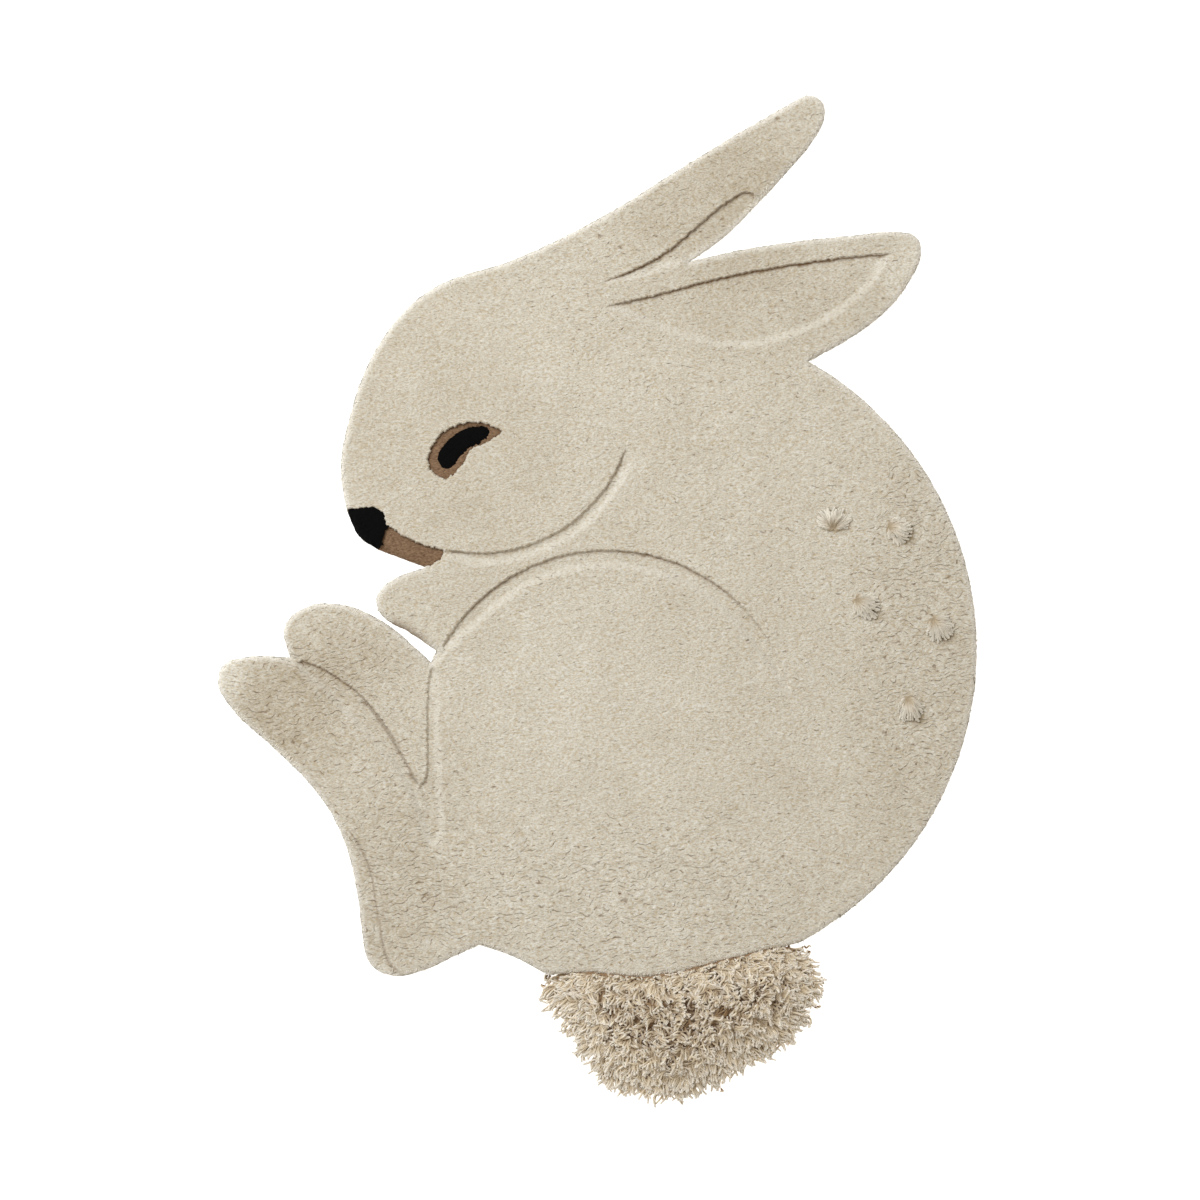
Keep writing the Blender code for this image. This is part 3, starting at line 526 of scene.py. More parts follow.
def creases(plan):
    """How much deeper than the solids the softer cuts go at each place, how dark the shade painted into them
    is there, and closely spaced places along them."""
    depth, shade, lines = np.zeros(len(plan)), np.zeros(len(plan)), []
    for _, deepest, width, darkest, table in CREASES:
        corners = np.array(table) * MM
        length = lengths_along(corners)[-1]
        lengths = np.arange(0, length, CREASE_STEP)
        line = places_on(corners, lengths)
        for _ in range(CREASE_ROUNDINGS):
            line[1:-1] += EASE * ((line[:-2] + line[2:]) / 2 - line[1:-1])
        ends = np.clip(np.minimum(lengths, length - lengths) / CREASE_FADE, CREASE_END, 1)
        index, away = nearest(line, plan)
        share = ends[index] * np.exp(-((away / (width * MM)) ** 2))
        depth = np.maximum(depth, deepest * MM * share)
        shade = np.maximum(shade, darkest * share)
        lines.append(line)
    return depth, shade, np.concatenate(lines)


def painted_wall_shade(plan, raw, around, faces):
    """How much painted shade each place takes, lying low beside a wall that would shade it from the key
    light.
    """
    start, end = HOLLOW_DEPTHS
    below = np.clip((around - raw - start) / (end - start), 0, 1)
    uphill = np.column_stack([
        softened(raw * places, faces, **SURROUNDINGS) - around * softened(places, faces, **SURROUNDINGS)
        for places in plan.T
    ])
    uphill /= np.maximum(np.linalg.norm(uphill, axis=1), TINY)[:, None]
    shaded = np.clip(OPEN_SHADE + WALL_SHADE * uphill @ SHADE_SIDE, 0, 1)
    return np.clip(SHADE_GAIN * softened(below * shaded, faces, **SHADE_BLUR), 0, 1)


def skin_over(edge, name, pitch, dice, fields=None):
    """The top and side of a pile with that edge, at the heights of a solid, and open below. Where it borders
    a field of other yarn, its line goes by whole tufts."""
    points, faces = solid(name)
    count = len(edge)
    rows = [edge]
    for distance in RINGS:
        row = moved_in(edge, distance)
        rows.append(row[distance_from(edge, row) > RING_SHARE * distance])
    inner = lattice(edge, pitch, dice)
    if fields is not None:
        steep = np.concatenate([steep_places(points, faces, edge), creases(inner)[2]])
        inner = refined(inner, pitch, steep)
    away = distance_from(edge, inner)
    rows.append(inner[away > RINGS[-1] + RING_GAP * pitch])
    rim = [(i, (i + 1) % count) for i in range(count)]
    plan = [Vector(p) for p in np.concatenate(rows)]
    found, _, top_faces, source, *_ = geometry.delaunay_2d_cdt(plan, rim, [], 1, WELD)
    plan, top_faces = np.array(found), np.array(top_faces)
    place_of = {old: new for new, olds in enumerate(source) for old in olds}
    rim = np.array([place_of[i] for i in range(count)])
    step = np.full(len(plan), LINE_STEP)
    if fields is not None:
        step[distance_from(fields, plan) < FIELD_BORDER] = FIELD_STEP
    raw, upright = felt(ray_tree(points, faces), plan, points[:, 2].max(), step)
    around = softened(raw, top_faces, **SURROUNDINGS)
    from_rim = distance_from(edge, plan)
    # painted shade at the foot of walls on the side away from the key light, and in the softer cuts
    hollow = painted_wall_shade(plan, raw, around, top_faces) * np.clip(from_rim / RINGS[2] - 1, 0, 1)
    if fields is not None:
        depth, shade, _ = creases(plan)
        raw -= depth
        hollow = np.maximum(hollow, shade)
    slanted = np.where(upright > STEEP, np.clip((1 - upright) / SPLAY_SLANT, 0, SPLAY_SHARE), 0)
    splayed = softened(np.where(from_rim < RINGS[3], 1, slanted), top_faces, times=2) * (1 - hollow)
    return with_side(plan, softened(raw, top_faces), top_faces, hollow, splayed, rim)


def with_side(plan, height, top_faces, hollow, splayed, rim):
    """Adds the rows of the side below the rim to the top of a skin."""
    points, faces = [np.column_stack([plan, height])], [top_faces]
    row, count, free = rim, len(plan), [np.ones(len(plan))]
    for level in WALL_LEVELS:
        z = PILE_FOOT + (height[rim] - PILE_FOOT) * level
        points.append(np.column_stack([plan[rim], z]))
        below = np.arange(len(rim)) + count
        count += len(rim)
        faces += [np.column_stack([row, below, np.roll(below, -1)])]
        faces += [np.column_stack([row, np.roll(below, -1), np.roll(row, -1)])]
        free.append(np.full(len(rim), float(level > 0)))
        row = below
    side = np.zeros(len(rim) * len(WALL_LEVELS))
    return Skin(
        np.concatenate(points),
        np.concatenate([plan] + [plan[rim]] * len(WALL_LEVELS)),
        np.concatenate(faces),
        np.concatenate([hollow, side]),
        np.concatenate([splayed, side + 1]),
        np.concatenate(free),
    )


def mesh_from(name, points, faces, values):
    """A smooth mesh of those triangles, with named values at its points."""
    mesh = bpy.data.meshes.new(name)
    mesh.vertices.add(len(points))
    mesh.vertices.foreach_set("co", np.ravel(points).astype(np.float32))
    mesh.loops.add(3 * len(faces))
    mesh.loops.foreach_set("vertex_index", np.ravel(faces).astype(np.int32))
    mesh.polygons.add(len(faces))
    mesh.polygons.foreach_set("loop_start", np.arange(0, 3 * len(faces), 3, dtype=np.int32))
    mesh.update(calc_edges=True)
    mesh.shade_smooth()
    for label, value in values.items():
        is_vector = np.ndim(value) == 2
        kind, field = ("FLOAT_VECTOR", "vector") if is_vector else ("FLOAT", "value")
        mesh.attributes.new(label, kind, "POINT").data.foreach_set(field, np.ravel(value).astype(np.float32))
    return mesh


def shown(data):
    """A mesh, a lamp or a camera as an object in the scene."""
    obj = bpy.data.objects.new(data.name, data)
    bpy.context.scene.collection.objects.link(obj)
    return obj


def grown(mesh, tree, inputs):
    """What a node tree makes of a mesh, as a plain mesh. Inputs are given by the tree's own names."""
    obj = shown(mesh)
    modifier = obj.modifiers.new(tree.name, "NODES")
    modifier.node_group = tree
    for item in tree.interface.items_tree:
        if item.name in inputs:
            modifier[item.identifier] = inputs[item.name]
    graph = bpy.context.evaluated_depsgraph_get()
    result = obj.evaluated_get(graph)
    made = bpy.data.meshes.new_from_object(result, preserve_all_data_layers=True, depsgraph=graph)
    name = mesh.name
    bpy.data.objects.remove(obj)
    bpy.data.meshes.remove(mesh)
    made.name = name
    return made


def new_tree(name, sockets):
    """A node tree with named inputs, and its two end nodes."""
    tree = bpy.data.node_groups.new(name, "GeometryNodeTree")
    tree.interface.new_socket("Geometry", in_out="INPUT", socket_type="NodeSocketGeometry")
    for label, kind in sockets:
        tree.interface.new_socket(label, in_out="INPUT", socket_type="NodeSocket" + kind)
    tree.interface.new_socket("Geometry", in_out="OUTPUT", socket_type="NodeSocketGeometry")
    return tree, tree.nodes.new("NodeGroupInput").outputs, tree.nodes.new("NodeGroupOutput").inputs


# ---- closed pieces ------------------------------------------------------------------------------------
def closed_piece(name, skin, points, normals, values, kept=slice(None)):
    """All or some of a skin's faces as one closed body, with upright walls where it was cut and a flat
    bottom. The skin's own normals are kept, so that pieces cut from one skin show no seam."""
    faces = skin.faces[kept]
    plan_keys = np.round(skin.plan / WELD).astype(np.int64)
    base_of = {tuple(plan_keys[i]): i for i in np.flatnonzero(skin.free == 0)}
    rim = open_edges(faces)
    extra, walls = [], []
    for i in sorted({i for edge in rim for i in edge}):
        key = tuple(plan_keys[i])
        if key not in base_of:
            base_of[key] = len(points) + len(extra)
            extra.append((*skin.plan[i], PILE_FOOT))
    low_edges = set()
    for a, b in rim:
        low_a, low_b = base_of[tuple(plan_keys[a])], base_of[tuple(plan_keys[b])]
        for wall in ((b, a, low_a), (b, low_a, low_b)):
            if len(set(wall)) == 3:
                walls.append(wall)
        if low_a != low_b:
            low_edges.add((low_a, low_b))
    all_points = np.vstack([points, np.reshape(extra, (-1, 3))])
    low = sorted({i for edge in low_edges for i in edge})
    number = {i: k for k, i in enumerate(low)}
    low_plan = [Vector((all_points[i][0], all_points[i][1])) for i in low]
    rims = [(number[a], number[b]) for a, b in low_edges]
    _, _, under, source, *_ = geometry.delaunay_2d_cdt(low_plan, rims, [], 1, 0.1 * WELD)
    bottom = [[low[source[i][0]] for i in reversed(face)] for face in under]
    every = np.vstack([faces, np.reshape(walls, (-1, 3)), bottom]).astype(int)
    used, index = np.unique(every, return_inverse=True)
    padded = {k: np.concatenate([v, np.zeros(len(extra))])[used] for k, v in values.items()}
    mesh = mesh_from(name, all_points[used], index.reshape(-1, 3), padded)
    downwards = np.tile([0.0, 0.0, -1.0], (len(extra), 1))
    mesh.normals_split_custom_set_from_vertices(np.vstack([normals, downwards])[used])
    return mesh


def grown_skin(skin, relief):
    """The points and normals of a skin with its tufts in relief, and the values that its material reads."""
    mesh = grown(mesh_from("bare skin", skin.points, skin.faces, {"free": skin.free}), relief_tree(), relief)
    points, normals = read(mesh.vertices, "co"), read(mesh.vertex_normals, "vector")
    values = {
        "hollow": skin.hollow,
        "splayed": skin.splayed,
        "valley": read(mesh.attributes["valley"].data, "value", size=1)[:, 0],
        "tone": np.zeros(len(skin.points)),
        "parted": np.full(len(skin.points), UNPARTED),
    }
    bpy.data.meshes.remove(mesh)
    return points, normals, values


def shaken_place(tree, place):
    """The place moved a little, so that no pattern is regular."""
    unsteady = add(tree, "ShaderNodeTexNoise", {"Vector": place, "Scale": 1 / SHAKE_PITCH, "Detail": 1.0})
    shake = add(tree, "ShaderNodeVectorMath", {0: unsteady.outputs["Color"], 1: HALF}, operation="SUBTRACT")
    return add(tree, "ShaderNodeVectorMath", {0: shake, 1: (SHAKE,) * 3, 2: place}, operation="MULTIPLY_ADD")


def relief_tree():
    """Tufts of cut yarn, raised along the surface's normals."""
    name = "cut pile relief"
    if name in bpy.data.node_groups:
        return bpy.data.node_groups[name]
    sizes = ("Tuft Width", "Tuft Height", "Unevenness")
    tree, given, out = new_tree(name, [(size, "Float") for size in sizes])
    place = add(tree, "GeometryNodeInputPosition")
    shaken = shaken_place(tree, place)
    oblong = add(tree, "ShaderNodeVectorMath", {0: shaken, 1: TUFT_SHAPE}, operation="MULTIPLY")
    per_tuft = add(tree, "ShaderNodeMath", {0: 1.0, 1: given["Tuft Width"]}, operation="DIVIDE")
    cells = {"Vector": oblong, "Scale": per_tuft, "Smoothness": TUFT_BLEND}
    tufts = add(tree, "ShaderNodeTexVoronoi", cells, feature="SMOOTH_F1")
    domed = {"Value": tufts.outputs["Distance"], **TUFT_FLANK, "To Min": 1.0, "To Max": 0.0}
    dome = add(tree, "ShaderNodeMapRange", domed)
    swell = {"Vector": place, "Scale": 1 / SWELL_PITCH, "Detail": 3.0, "Roughness": 0.6}
    slow = add(tree, "ShaderNodeTexNoise", swell)
    waves = add(tree, "ShaderNodeMath", {0: slow.outputs["Fac"], 1: 0.5}, operation="SUBTRACT")
    raised = add(tree, "ShaderNodeMath", {0: dome, 1: given["Tuft Height"]}, operation="MULTIPLY")
    rising = {0: waves, 1: given["Unevenness"], 2: raised}
    rise = add(tree, "ShaderNodeMath", rising, operation="MULTIPLY_ADD")
    free = add(tree, "GeometryNodeInputNamedAttribute", {"Name": "free"})
    kept = add(tree, "ShaderNodeMath", {0: rise, 1: free}, operation="MULTIPLY")
    normal = add(tree, "GeometryNodeInputNormal")
    offset = add(tree, "ShaderNodeVectorMath", {0: normal, "Scale": kept}, operation="SCALE")
    valley = add(tree, "ShaderNodeMath", {0: 1.0, 1: dome}, operation="SUBTRACT")
    noted = {"Geometry": given["Geometry"], "Name": "valley", "Value": valley}
    told = add(tree, "GeometryNodeStoreNamedAttribute", noted, data_type="FLOAT", domain="POINT")
    moved = add(tree, "GeometryNodeSetPosition", {"Geometry": told, "Offset": offset})
    tree.links.new(moved.outputs["Geometry"], out["Geometry"])
    return tree


# ---- long yarn ----------------------------------------------------------------------------------------
def yarn_tree():
    """Strands from roots to tips over a solid. Each point holds its strand's way, swing, rise and girth."""
    name = "yarn strands"
    if name in bpy.data.node_groups:
        return bpy.data.node_groups[name]
    floats = ("Thickness", "Tip Girth", "Sink", "Wander", "Wander Pitch", "Lowest")
    others = [("Surface", "Object"), ("Steps", "Int"), ("Yarn", "Material")]
    tree, given, out = new_tree(name, others + [(size, "Float") for size in floats])
    line = add(tree, "GeometryNodeCurvePrimitiveLine", {"End": (1.0, 0.0, 0.0)})
    stepped = add(tree, "GeometryNodeResampleCurve", {"Curve": line, "Count": given["Steps"]})
    placed = add(tree, "GeometryNodeInstanceOnPoints", {"Points": given["Geometry"], "Instance": stepped})
    bare = add(tree, "GeometryNodeRealizeInstances", {"Geometry": placed})
    along = add(tree, "GeometryNodeSplineParameter").outputs["Factor"]
    root, way, side = (
        add(tree, "GeometryNodeInputNamedAttribute", {"Name": label}, data_type="FLOAT_VECTOR").outputs[0]
        for label in ("root", "way", "side")
    )
    rise, lift, girth, phase = (
        add(tree, "GeometryNodeInputNamedAttribute", {"Name": label}, data_type="FLOAT").outputs["Attribute"]
        for label in ("rise", "lift", "girth", "phase")
    )
    straight = add(tree, "ShaderNodeVectorMath", {0: way, 1: along, 2: root}, operation="MULTIPLY_ADD")
    angle = add(tree, "ShaderNodeMath", {0: along, 1: SWING_TURN, 2: phase}, operation="MULTIPLY_ADD")
    swing = add(tree, "ShaderNodeMath", {0: angle}, operation="SINE")
    swing_out = add(tree, "ShaderNodeMath", {0: swing, 1: along}, operation="MULTIPLY")
    swung = add(tree, "ShaderNodeVectorMath", {0: side, 1: swing_out, 2: straight}, operation="MULTIPLY_ADD")
    per_pitch = add(tree, "ShaderNodeMath", {0: 1.0, 1: given["Wander Pitch"]}, operation="DIVIDE")
    stray = add(tree, "ShaderNodeTexNoise", {"Vector": straight, "Scale": per_pitch, "Detail": 1.0})
    centred = add(tree, "ShaderNodeVectorMath", {0: stray.outputs["Color"], 1: HALF}, operation="SUBTRACT")
    reach = add(tree, "ShaderNodeMath", {0: along, 1: given["Wander"]}, operation="MULTIPLY")
    lying = add(tree, "ShaderNodeVectorMath", {0: centred, 1: reach, 2: swung}, operation="MULTIPLY_ADD")
    lying = add(tree, "ShaderNodeSeparateXYZ", {"Vector": lying})
    above = add(tree, "ShaderNodeCombineXYZ", {"X": lying.outputs["X"], "Y": lying.outputs["Y"], "Z": SKY})
    surface = add(tree, "GeometryNodeObjectInfo", {"Object": given["Surface"]})
    downwards = {"Target Geometry": surface.outputs["Geometry"], "Source Position": above}
    ray = add(tree, "GeometryNodeRaycast", downwards)
    found = add(tree, "ShaderNodeSeparateXYZ", {"Vector": ray.outputs["Hit Position"]})
    either = {"Switch": ray.outputs["Is Hit"], "False": given["Lowest"], "True": found.outputs["Z"]}
    height = add(tree, "GeometryNodeSwitch", either, input_type="FLOAT")
    easing = {"Value": height, "Iterations": HEIGHT_EASINGS}
    eased = add(tree, "GeometryNodeBlurAttribute", easing, data_type="FLOAT")
    to_go = add(tree, "ShaderNodeMath", {0: 1.0, 1: along}, operation="SUBTRACT")
    depth = add(tree, "ShaderNodeMath", {0: to_go, 1: SINK_POWER}, operation="POWER")
    sunk = add(tree, "ShaderNodeMath", {0: depth, 1: given["Sink"]}, operation="MULTIPLY")
    laid = add(tree, "ShaderNodeMath", {0: eased, 1: sunk}, operation="SUBTRACT")
    arch = add(tree, "ShaderNodeMath", {0: along, 1: to_go}, operation="MULTIPLY")
    raised = add(tree, "ShaderNodeMath", {0: arch, 1: rise, 2: laid}, operation="MULTIPLY_ADD")
    lifted = add(tree, "ShaderNodeMath", {0: along, 1: lift, 2: raised}, operation="MULTIPLY_ADD")
    kept_up = add(tree, "ShaderNodeMath", {0: lifted, 1: given["Lowest"]}, operation="MAXIMUM")
    in_place = {"X": lying.outputs["X"], "Y": lying.outputs["Y"], "Z": kept_up}
    position = add(tree, "ShaderNodeCombineXYZ", in_place)
    posed = add(tree, "GeometryNodeSetPosition", {"Geometry": bare, "Position": position})
    noted = {"Geometry": posed, "Name": "along", "Value": along}
    told = add(tree, "GeometryNodeStoreNamedAttribute", noted, data_type="FLOAT", domain="POINT")
    slim = {"Value": along, "From Min": TAPER_FROM, "To Min": 1.0, "To Max": given["Tip Girth"]}
    thinning = add(tree, "ShaderNodeMapRange", slim)
    scale = add(tree, "ShaderNodeMath", {0: thinning, 1: girth}, operation="MULTIPLY")
    radius = add(tree, "ShaderNodeMath", {0: given["Thickness"], 1: 0.5}, operation="MULTIPLY")
    section = add(tree, "GeometryNodeCurvePrimitiveCircle", {"Resolution": YARN_SIDES, "Radius": radius})
    tube = {"Curve": told, "Profile Curve": section.outputs["Curve"], "Scale": scale, "Fill Caps": True}
    tubes = add(tree, "GeometryNodeCurveToMesh", tube)
    smooth = add(tree, "GeometryNodeSetShadeSmooth", {"Geometry": tubes, "Shade Smooth": True})
    spun = add(tree, "GeometryNodeSetMaterial", {"Geometry": smooth, "Material": given["Yarn"]})
    real = add(tree, "GeometryNodeRealizeInstances", {"Geometry": spun})
    tree.links.new(real.outputs["Geometry"], out["Geometry"])
    return tree


def inside(loop, points):
    """Which points lie inside a closed line."""
    after = np.roll(loop, -1, axis=0)
    result = np.zeros(len(points), bool)
    for (ax, ay), (bx, by) in zip(loop, after):
        if ay != by:
            crosses = (ay > points[:, 1]) != (by > points[:, 1])
            result ^= crosses & (points[:, 0] < ax + (points[:, 1] - ay) * (bx - ax) / (by - ay))
    return result


def covered(tree, points, margin):
    """Which places in plan lie over a solid, or within a margin of it."""
    steps = [(0, 0)] + [(margin * math.cos(k), margin * math.sin(k)) for k in range(LOCK_WAYS)]
    return np.array([any(tree.ray_cast((x + a, y + b, SKY), -UP)[0] for a, b in steps) for x, y in points])


def tip_places(node, edge, pitch, reach, dice):
    """Where the tips of long yarn lie: all over a solid, out to the ends of the locks at its rim."""
    tips = lattice(moved_in(edge, -reach), pitch, dice)
    tips += dice.uniform(-0.5, 0.5, tips.shape) * pitch
    return dice.permutation(tips[covered(ray_tree(*solid(node)), tips, LOCK_MARGIN)])


def turned(direction, angle):
    """Directions in plan, each turned by its own angle."""
    cosine, sine = np.cos(angle), np.sin(angle)
    x, y = direction[:, 0], direction[:, 1]
    return np.column_stack([x * cosine - y * sine, x * sine + y * cosine])


def clumps(tips, pitch, dice):
    """The clump of yarn that each tip belongs to, and the places of the clumps."""
    low, high = tips.min(axis=0), tips.max(axis=0)
    across, up = np.ceil((high - low) / pitch).astype(int) + 1
    places = low + np.stack(np.meshgrid(np.arange(across), np.arange(up)), axis=-1).reshape(-1, 2) * pitch
    places = places + dice.uniform(-CLUMP_JITTER, CLUMP_JITTER, places.shape) * pitch
    return nearest(places, tips)[0], places


def strands(name, tips, direction, length, loop, dice, surface, yarn, sizes, gaps=0.0):
    """Strands that end at these tips, each rooted inside the loop, against its direction. The tips of a clump
    draw together and stand a little higher in its middle, and take painted shade in the gaps round it."""
    for _ in range(SHORTENINGS):
        outside = ~inside(loop, tips - direction * length[:, None])
        length = np.where(outside, SHORTENED * length, length)
    root = tips - direction * length[:, None]
    count = len(tips)
    flat = np.zeros(count)
    clump, places = clumps(tips, sizes["Clump Pitch"], dice)
    to_middle = places[clump] - tips
    apart = np.linalg.norm(to_middle, axis=1) / sizes["Clump Pitch"]
    drawn = to_middle * dice.uniform(*DRAWN, (count, 1)) * sizes["Clumping"]
    way = tips + drawn - root
    swing = dice.normal(0, sizes["Swing"], count)
    values = {
        "root": np.column_stack([root, flat]),
        "way": np.column_stack([way, flat]),
        "side": np.column_stack([-direction[:, 1] * swing, direction[:, 0] * swing, flat]),
        "lift": sizes["Clump Height"] * (1 - CLUMP_FALL * apart) * dice.uniform(*CLUMP_LIFT, count),
        "rise": dice.uniform(*sizes["Rise"], count),
        "girth": dice.uniform(*GIRTH, count),
        "phase": dice.uniform(0, 2 * math.pi, count),
        "shade": dice.uniform(0, 1, count),
        "deep": np.clip(CLUMP_SHADE * apart - CLUMP_LIGHT, 0, 1) * gaps,
    }
    seeds = mesh_from(name, values["root"], np.empty((0, 3)), values)
    return grown(seeds, yarn_tree(), {"Surface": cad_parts[surface], "Yarn": yarn, **sizes})


# ---- materials ----------------------------------------------------------------------------------------
def new_material(name):
    """A new material, with its node tree and its shader."""
    material = bpy.data.materials.new(name)
    material.use_nodes = True
    tree = material.node_tree
    shader = next(node for node in tree.nodes if node.type == "BSDF_PRINCIPLED")
    return material, tree, shader


def set_finish(shader, finish, sheen=0.0):
    """Wool is rough and barely glossy, with a soft sheen of loose fibres that dark dye dulls. Cotton has no
    sheen."""
    for label, value in {**finish, "Sheen Weight": sheen}.items():
        shader.inputs[label].default_value = value


def partings(tree, place, parted):
    """1 in the short partings that run across the rug between wavy rows of tufts, where a wider noise and the
    nap open them."""
    shaken = shaken_place(tree, place)
    rows = add(tree, "ShaderNodeVectorMath", {0: shaken, 1: (ROW_TILT, 1, 0)}, operation="DOT_PRODUCT")
    bends = add(tree, "ShaderNodeTexNoise", {"Vector": place, "Scale": 1 / ROW_BEND_PITCH, "Detail": 2.0})
    bending = {0: bends.outputs["Fac"], 1: ROW_BEND, 2: rows.outputs["Value"]}
    bent = add(tree, "ShaderNodeMath", bending, operation="MULTIPLY_ADD")
    to_row = add(tree, "ShaderNodeMath", {0: bent, 1: ROW_PITCH}, operation="PINGPONG")
    opened = {"Value": to_row, "From Min": 0.0, "From Max": PARTING_LINE, "To Min": 1.0, "To Max": 0.0}
    line = add(tree, "ShaderNodeMapRange", opened, interpolation_type="SMOOTHSTEP")
    lengthwise = add(tree, "ShaderNodeVectorMath", {0: shaken, 1: PARTING_SHAPE}, operation="MULTIPLY")
    gates = add(tree, "ShaderNodeTexNoise", {"Vector": lengthwise, "Scale": 1.0, "Detail": 1.0})
    open_share = add(tree, "ShaderNodeMath", {0: gates.outputs["Fac"], 1: parted}, operation="ADD")
    gate = add(tree, "ShaderNodeMapRange", {"Value": open_share, **PARTING_GATE})
    return add(tree, "ShaderNodeMath", {0: line, 1: gate}, operation="MULTIPLY")


def cut_wool(name, light, dark, shadow, splay, sheen):
    """Tufted wool shorn level. The cut ends lie over in short strokes, with small gaps between them painted
    dark as shade; shade is painted into the tufts' valleys, the partings and the creases too. Where they
    splay on a slope or at the rim they are painted paler, partly as a highlight, and dull fibres give a faint
    velvety sheen."""
    material, tree, shader = new_material(name)
    place = add(tree, "ShaderNodeTexCoord").outputs["Object"]
    valley, hollow, splayed, tone, parted = (
        add(tree, "ShaderNodeAttribute", attribute_name=label).outputs["Fac"]
        for label in ("valley", "hollow", "splayed", "tone", "parted")
    )
    opened = partings(tree, place, parted)
    swirl = add(tree, "ShaderNodeTexNoise", {"Vector": place, "Scale": 1 / SWIRL_PITCH, "Detail": 1.0})
    swirling = {0: swirl.outputs["Color"], 1: (SWIRL,) * 3, 2: place}
    swirled = add(tree, "ShaderNodeVectorMath", swirling, operation="MULTIPLY_ADD")
    leaning = {"Vector": swirled, "Rotation": (0, 0, STROKE_LEAN)}
    laid = [add(tree, "ShaderNodeMapping", {**leaning, "Scale": scale}) for scale in (STROKES, FLECKS)]
    strokes, flecks = (
        add(tree, "ShaderNodeTexNoise", {"Vector": ends, "Scale": 1.0, "Detail": 2.0}).outputs["Fac"]
        for ends in laid
    )
    stroke = add(tree, "ShaderNodeMapRange", {"Value": strokes, **STROKE_RANGE})
    fleck = add(tree, "ShaderNodeMapRange", {"Value": flecks, **FLECK_RANGE})
    curls = add(tree, "ShaderNodeTexNoise", {"Vector": place, "Scale": 1 / CURL, "Detail": 2.0})
    curl = add(tree, "ShaderNodeMath", {0: curls.outputs["Fac"], 1: 0.5}, operation="SUBTRACT")
    curled = add(tree, "ShaderNodeMapRange", {"Value": parted, **CURL_RANGE})
    clouds = add(tree, "ShaderNodeTexNoise", {"Vector": place, "Scale": 1 / CLOUD, "Detail": 3.0})
    cloud = add(tree, "ShaderNodeMapRange", {"Value": clouds.outputs["Fac"], **CLOUD_RANGE})
    # how much painted shade each place takes: creases and wall feet, tuft valleys, small gaps and partings
    painted_shade_mix = add(tree, "ShaderNodeMath", {0: hollow, 1: HOLLOW_SHADE}, operation="MULTIPLY")
    for shade, share in ((valley, VALLEY_SHADE), (fleck, FLECK_SHADE), (opened, PARTING_SHADE)):
        darker = {0: shade, 1: share, 2: painted_shade_mix}
        painted_shade_mix = add(tree, "ShaderNodeMath", darker, operation="MULTIPLY_ADD", use_clamp=True)
    light, dark, shadow, splay = (linear(code) for code in (light, dark, shadow, splay))
    yarn = add(tree, "ShaderNodeMix", {"Factor": stroke, "A": light, "B": dark}, data_type="RGBA")
    toned = add(tree, "ShaderNodeMath", {0: cloud, 1: CLOUD_SHADE, 2: tone}, operation="MULTIPLY_ADD")
    patched = add(tree, "ShaderNodeMath", {0: curl, 1: curled, 2: toned}, operation="MULTIPLY_ADD")
    browned = {0: patched, 1: BROWNING, 2: EVEN_NAP}
    brightness = add(tree, "ShaderNodeVectorMath", browned, operation="MULTIPLY_ADD")
    worn = add(tree, "ShaderNodeVectorMath", {0: yarn, 1: brightness}, operation="MULTIPLY")
    paler = add(tree, "ShaderNodeMath", {0: splayed, 1: SPLAY_PALER}, operation="MULTIPLY")
    open_ends = add(tree, "ShaderNodeMix", {"Factor": paler, "A": worn, "B": splay}, data_type="RGBA")
    colour = add(tree, "ShaderNodeMix", {"Factor": painted_shade_mix, "A": open_ends, "B": shadow}, data_type="RGBA")
    tree.links.new(socket_of(colour.outputs, "Result"), shader.inputs["Base Color"])
    fibres = add(tree, "ShaderNodeTexNoise", {"Vector": place, "Scale": 1 / FIBRE, "Detail": 2.0})
    rough = fibres.outputs["Fac"]
    for shape, depth in ((strokes, STROKE_BUMP), (opened, PARTING_BUMP)):
        rough = add(tree, "ShaderNodeMath", {0: shape, 1: depth, 2: rough}, operation="MULTIPLY_ADD")
    bump = add(tree, "ShaderNodeBump", {"Height": rough, **WOOL_BUMP})
    tree.links.new(bump.outputs["Normal"], shader.inputs["Normal"])
    set_finish(shader, WOOL_FINISH, sheen)
    return material


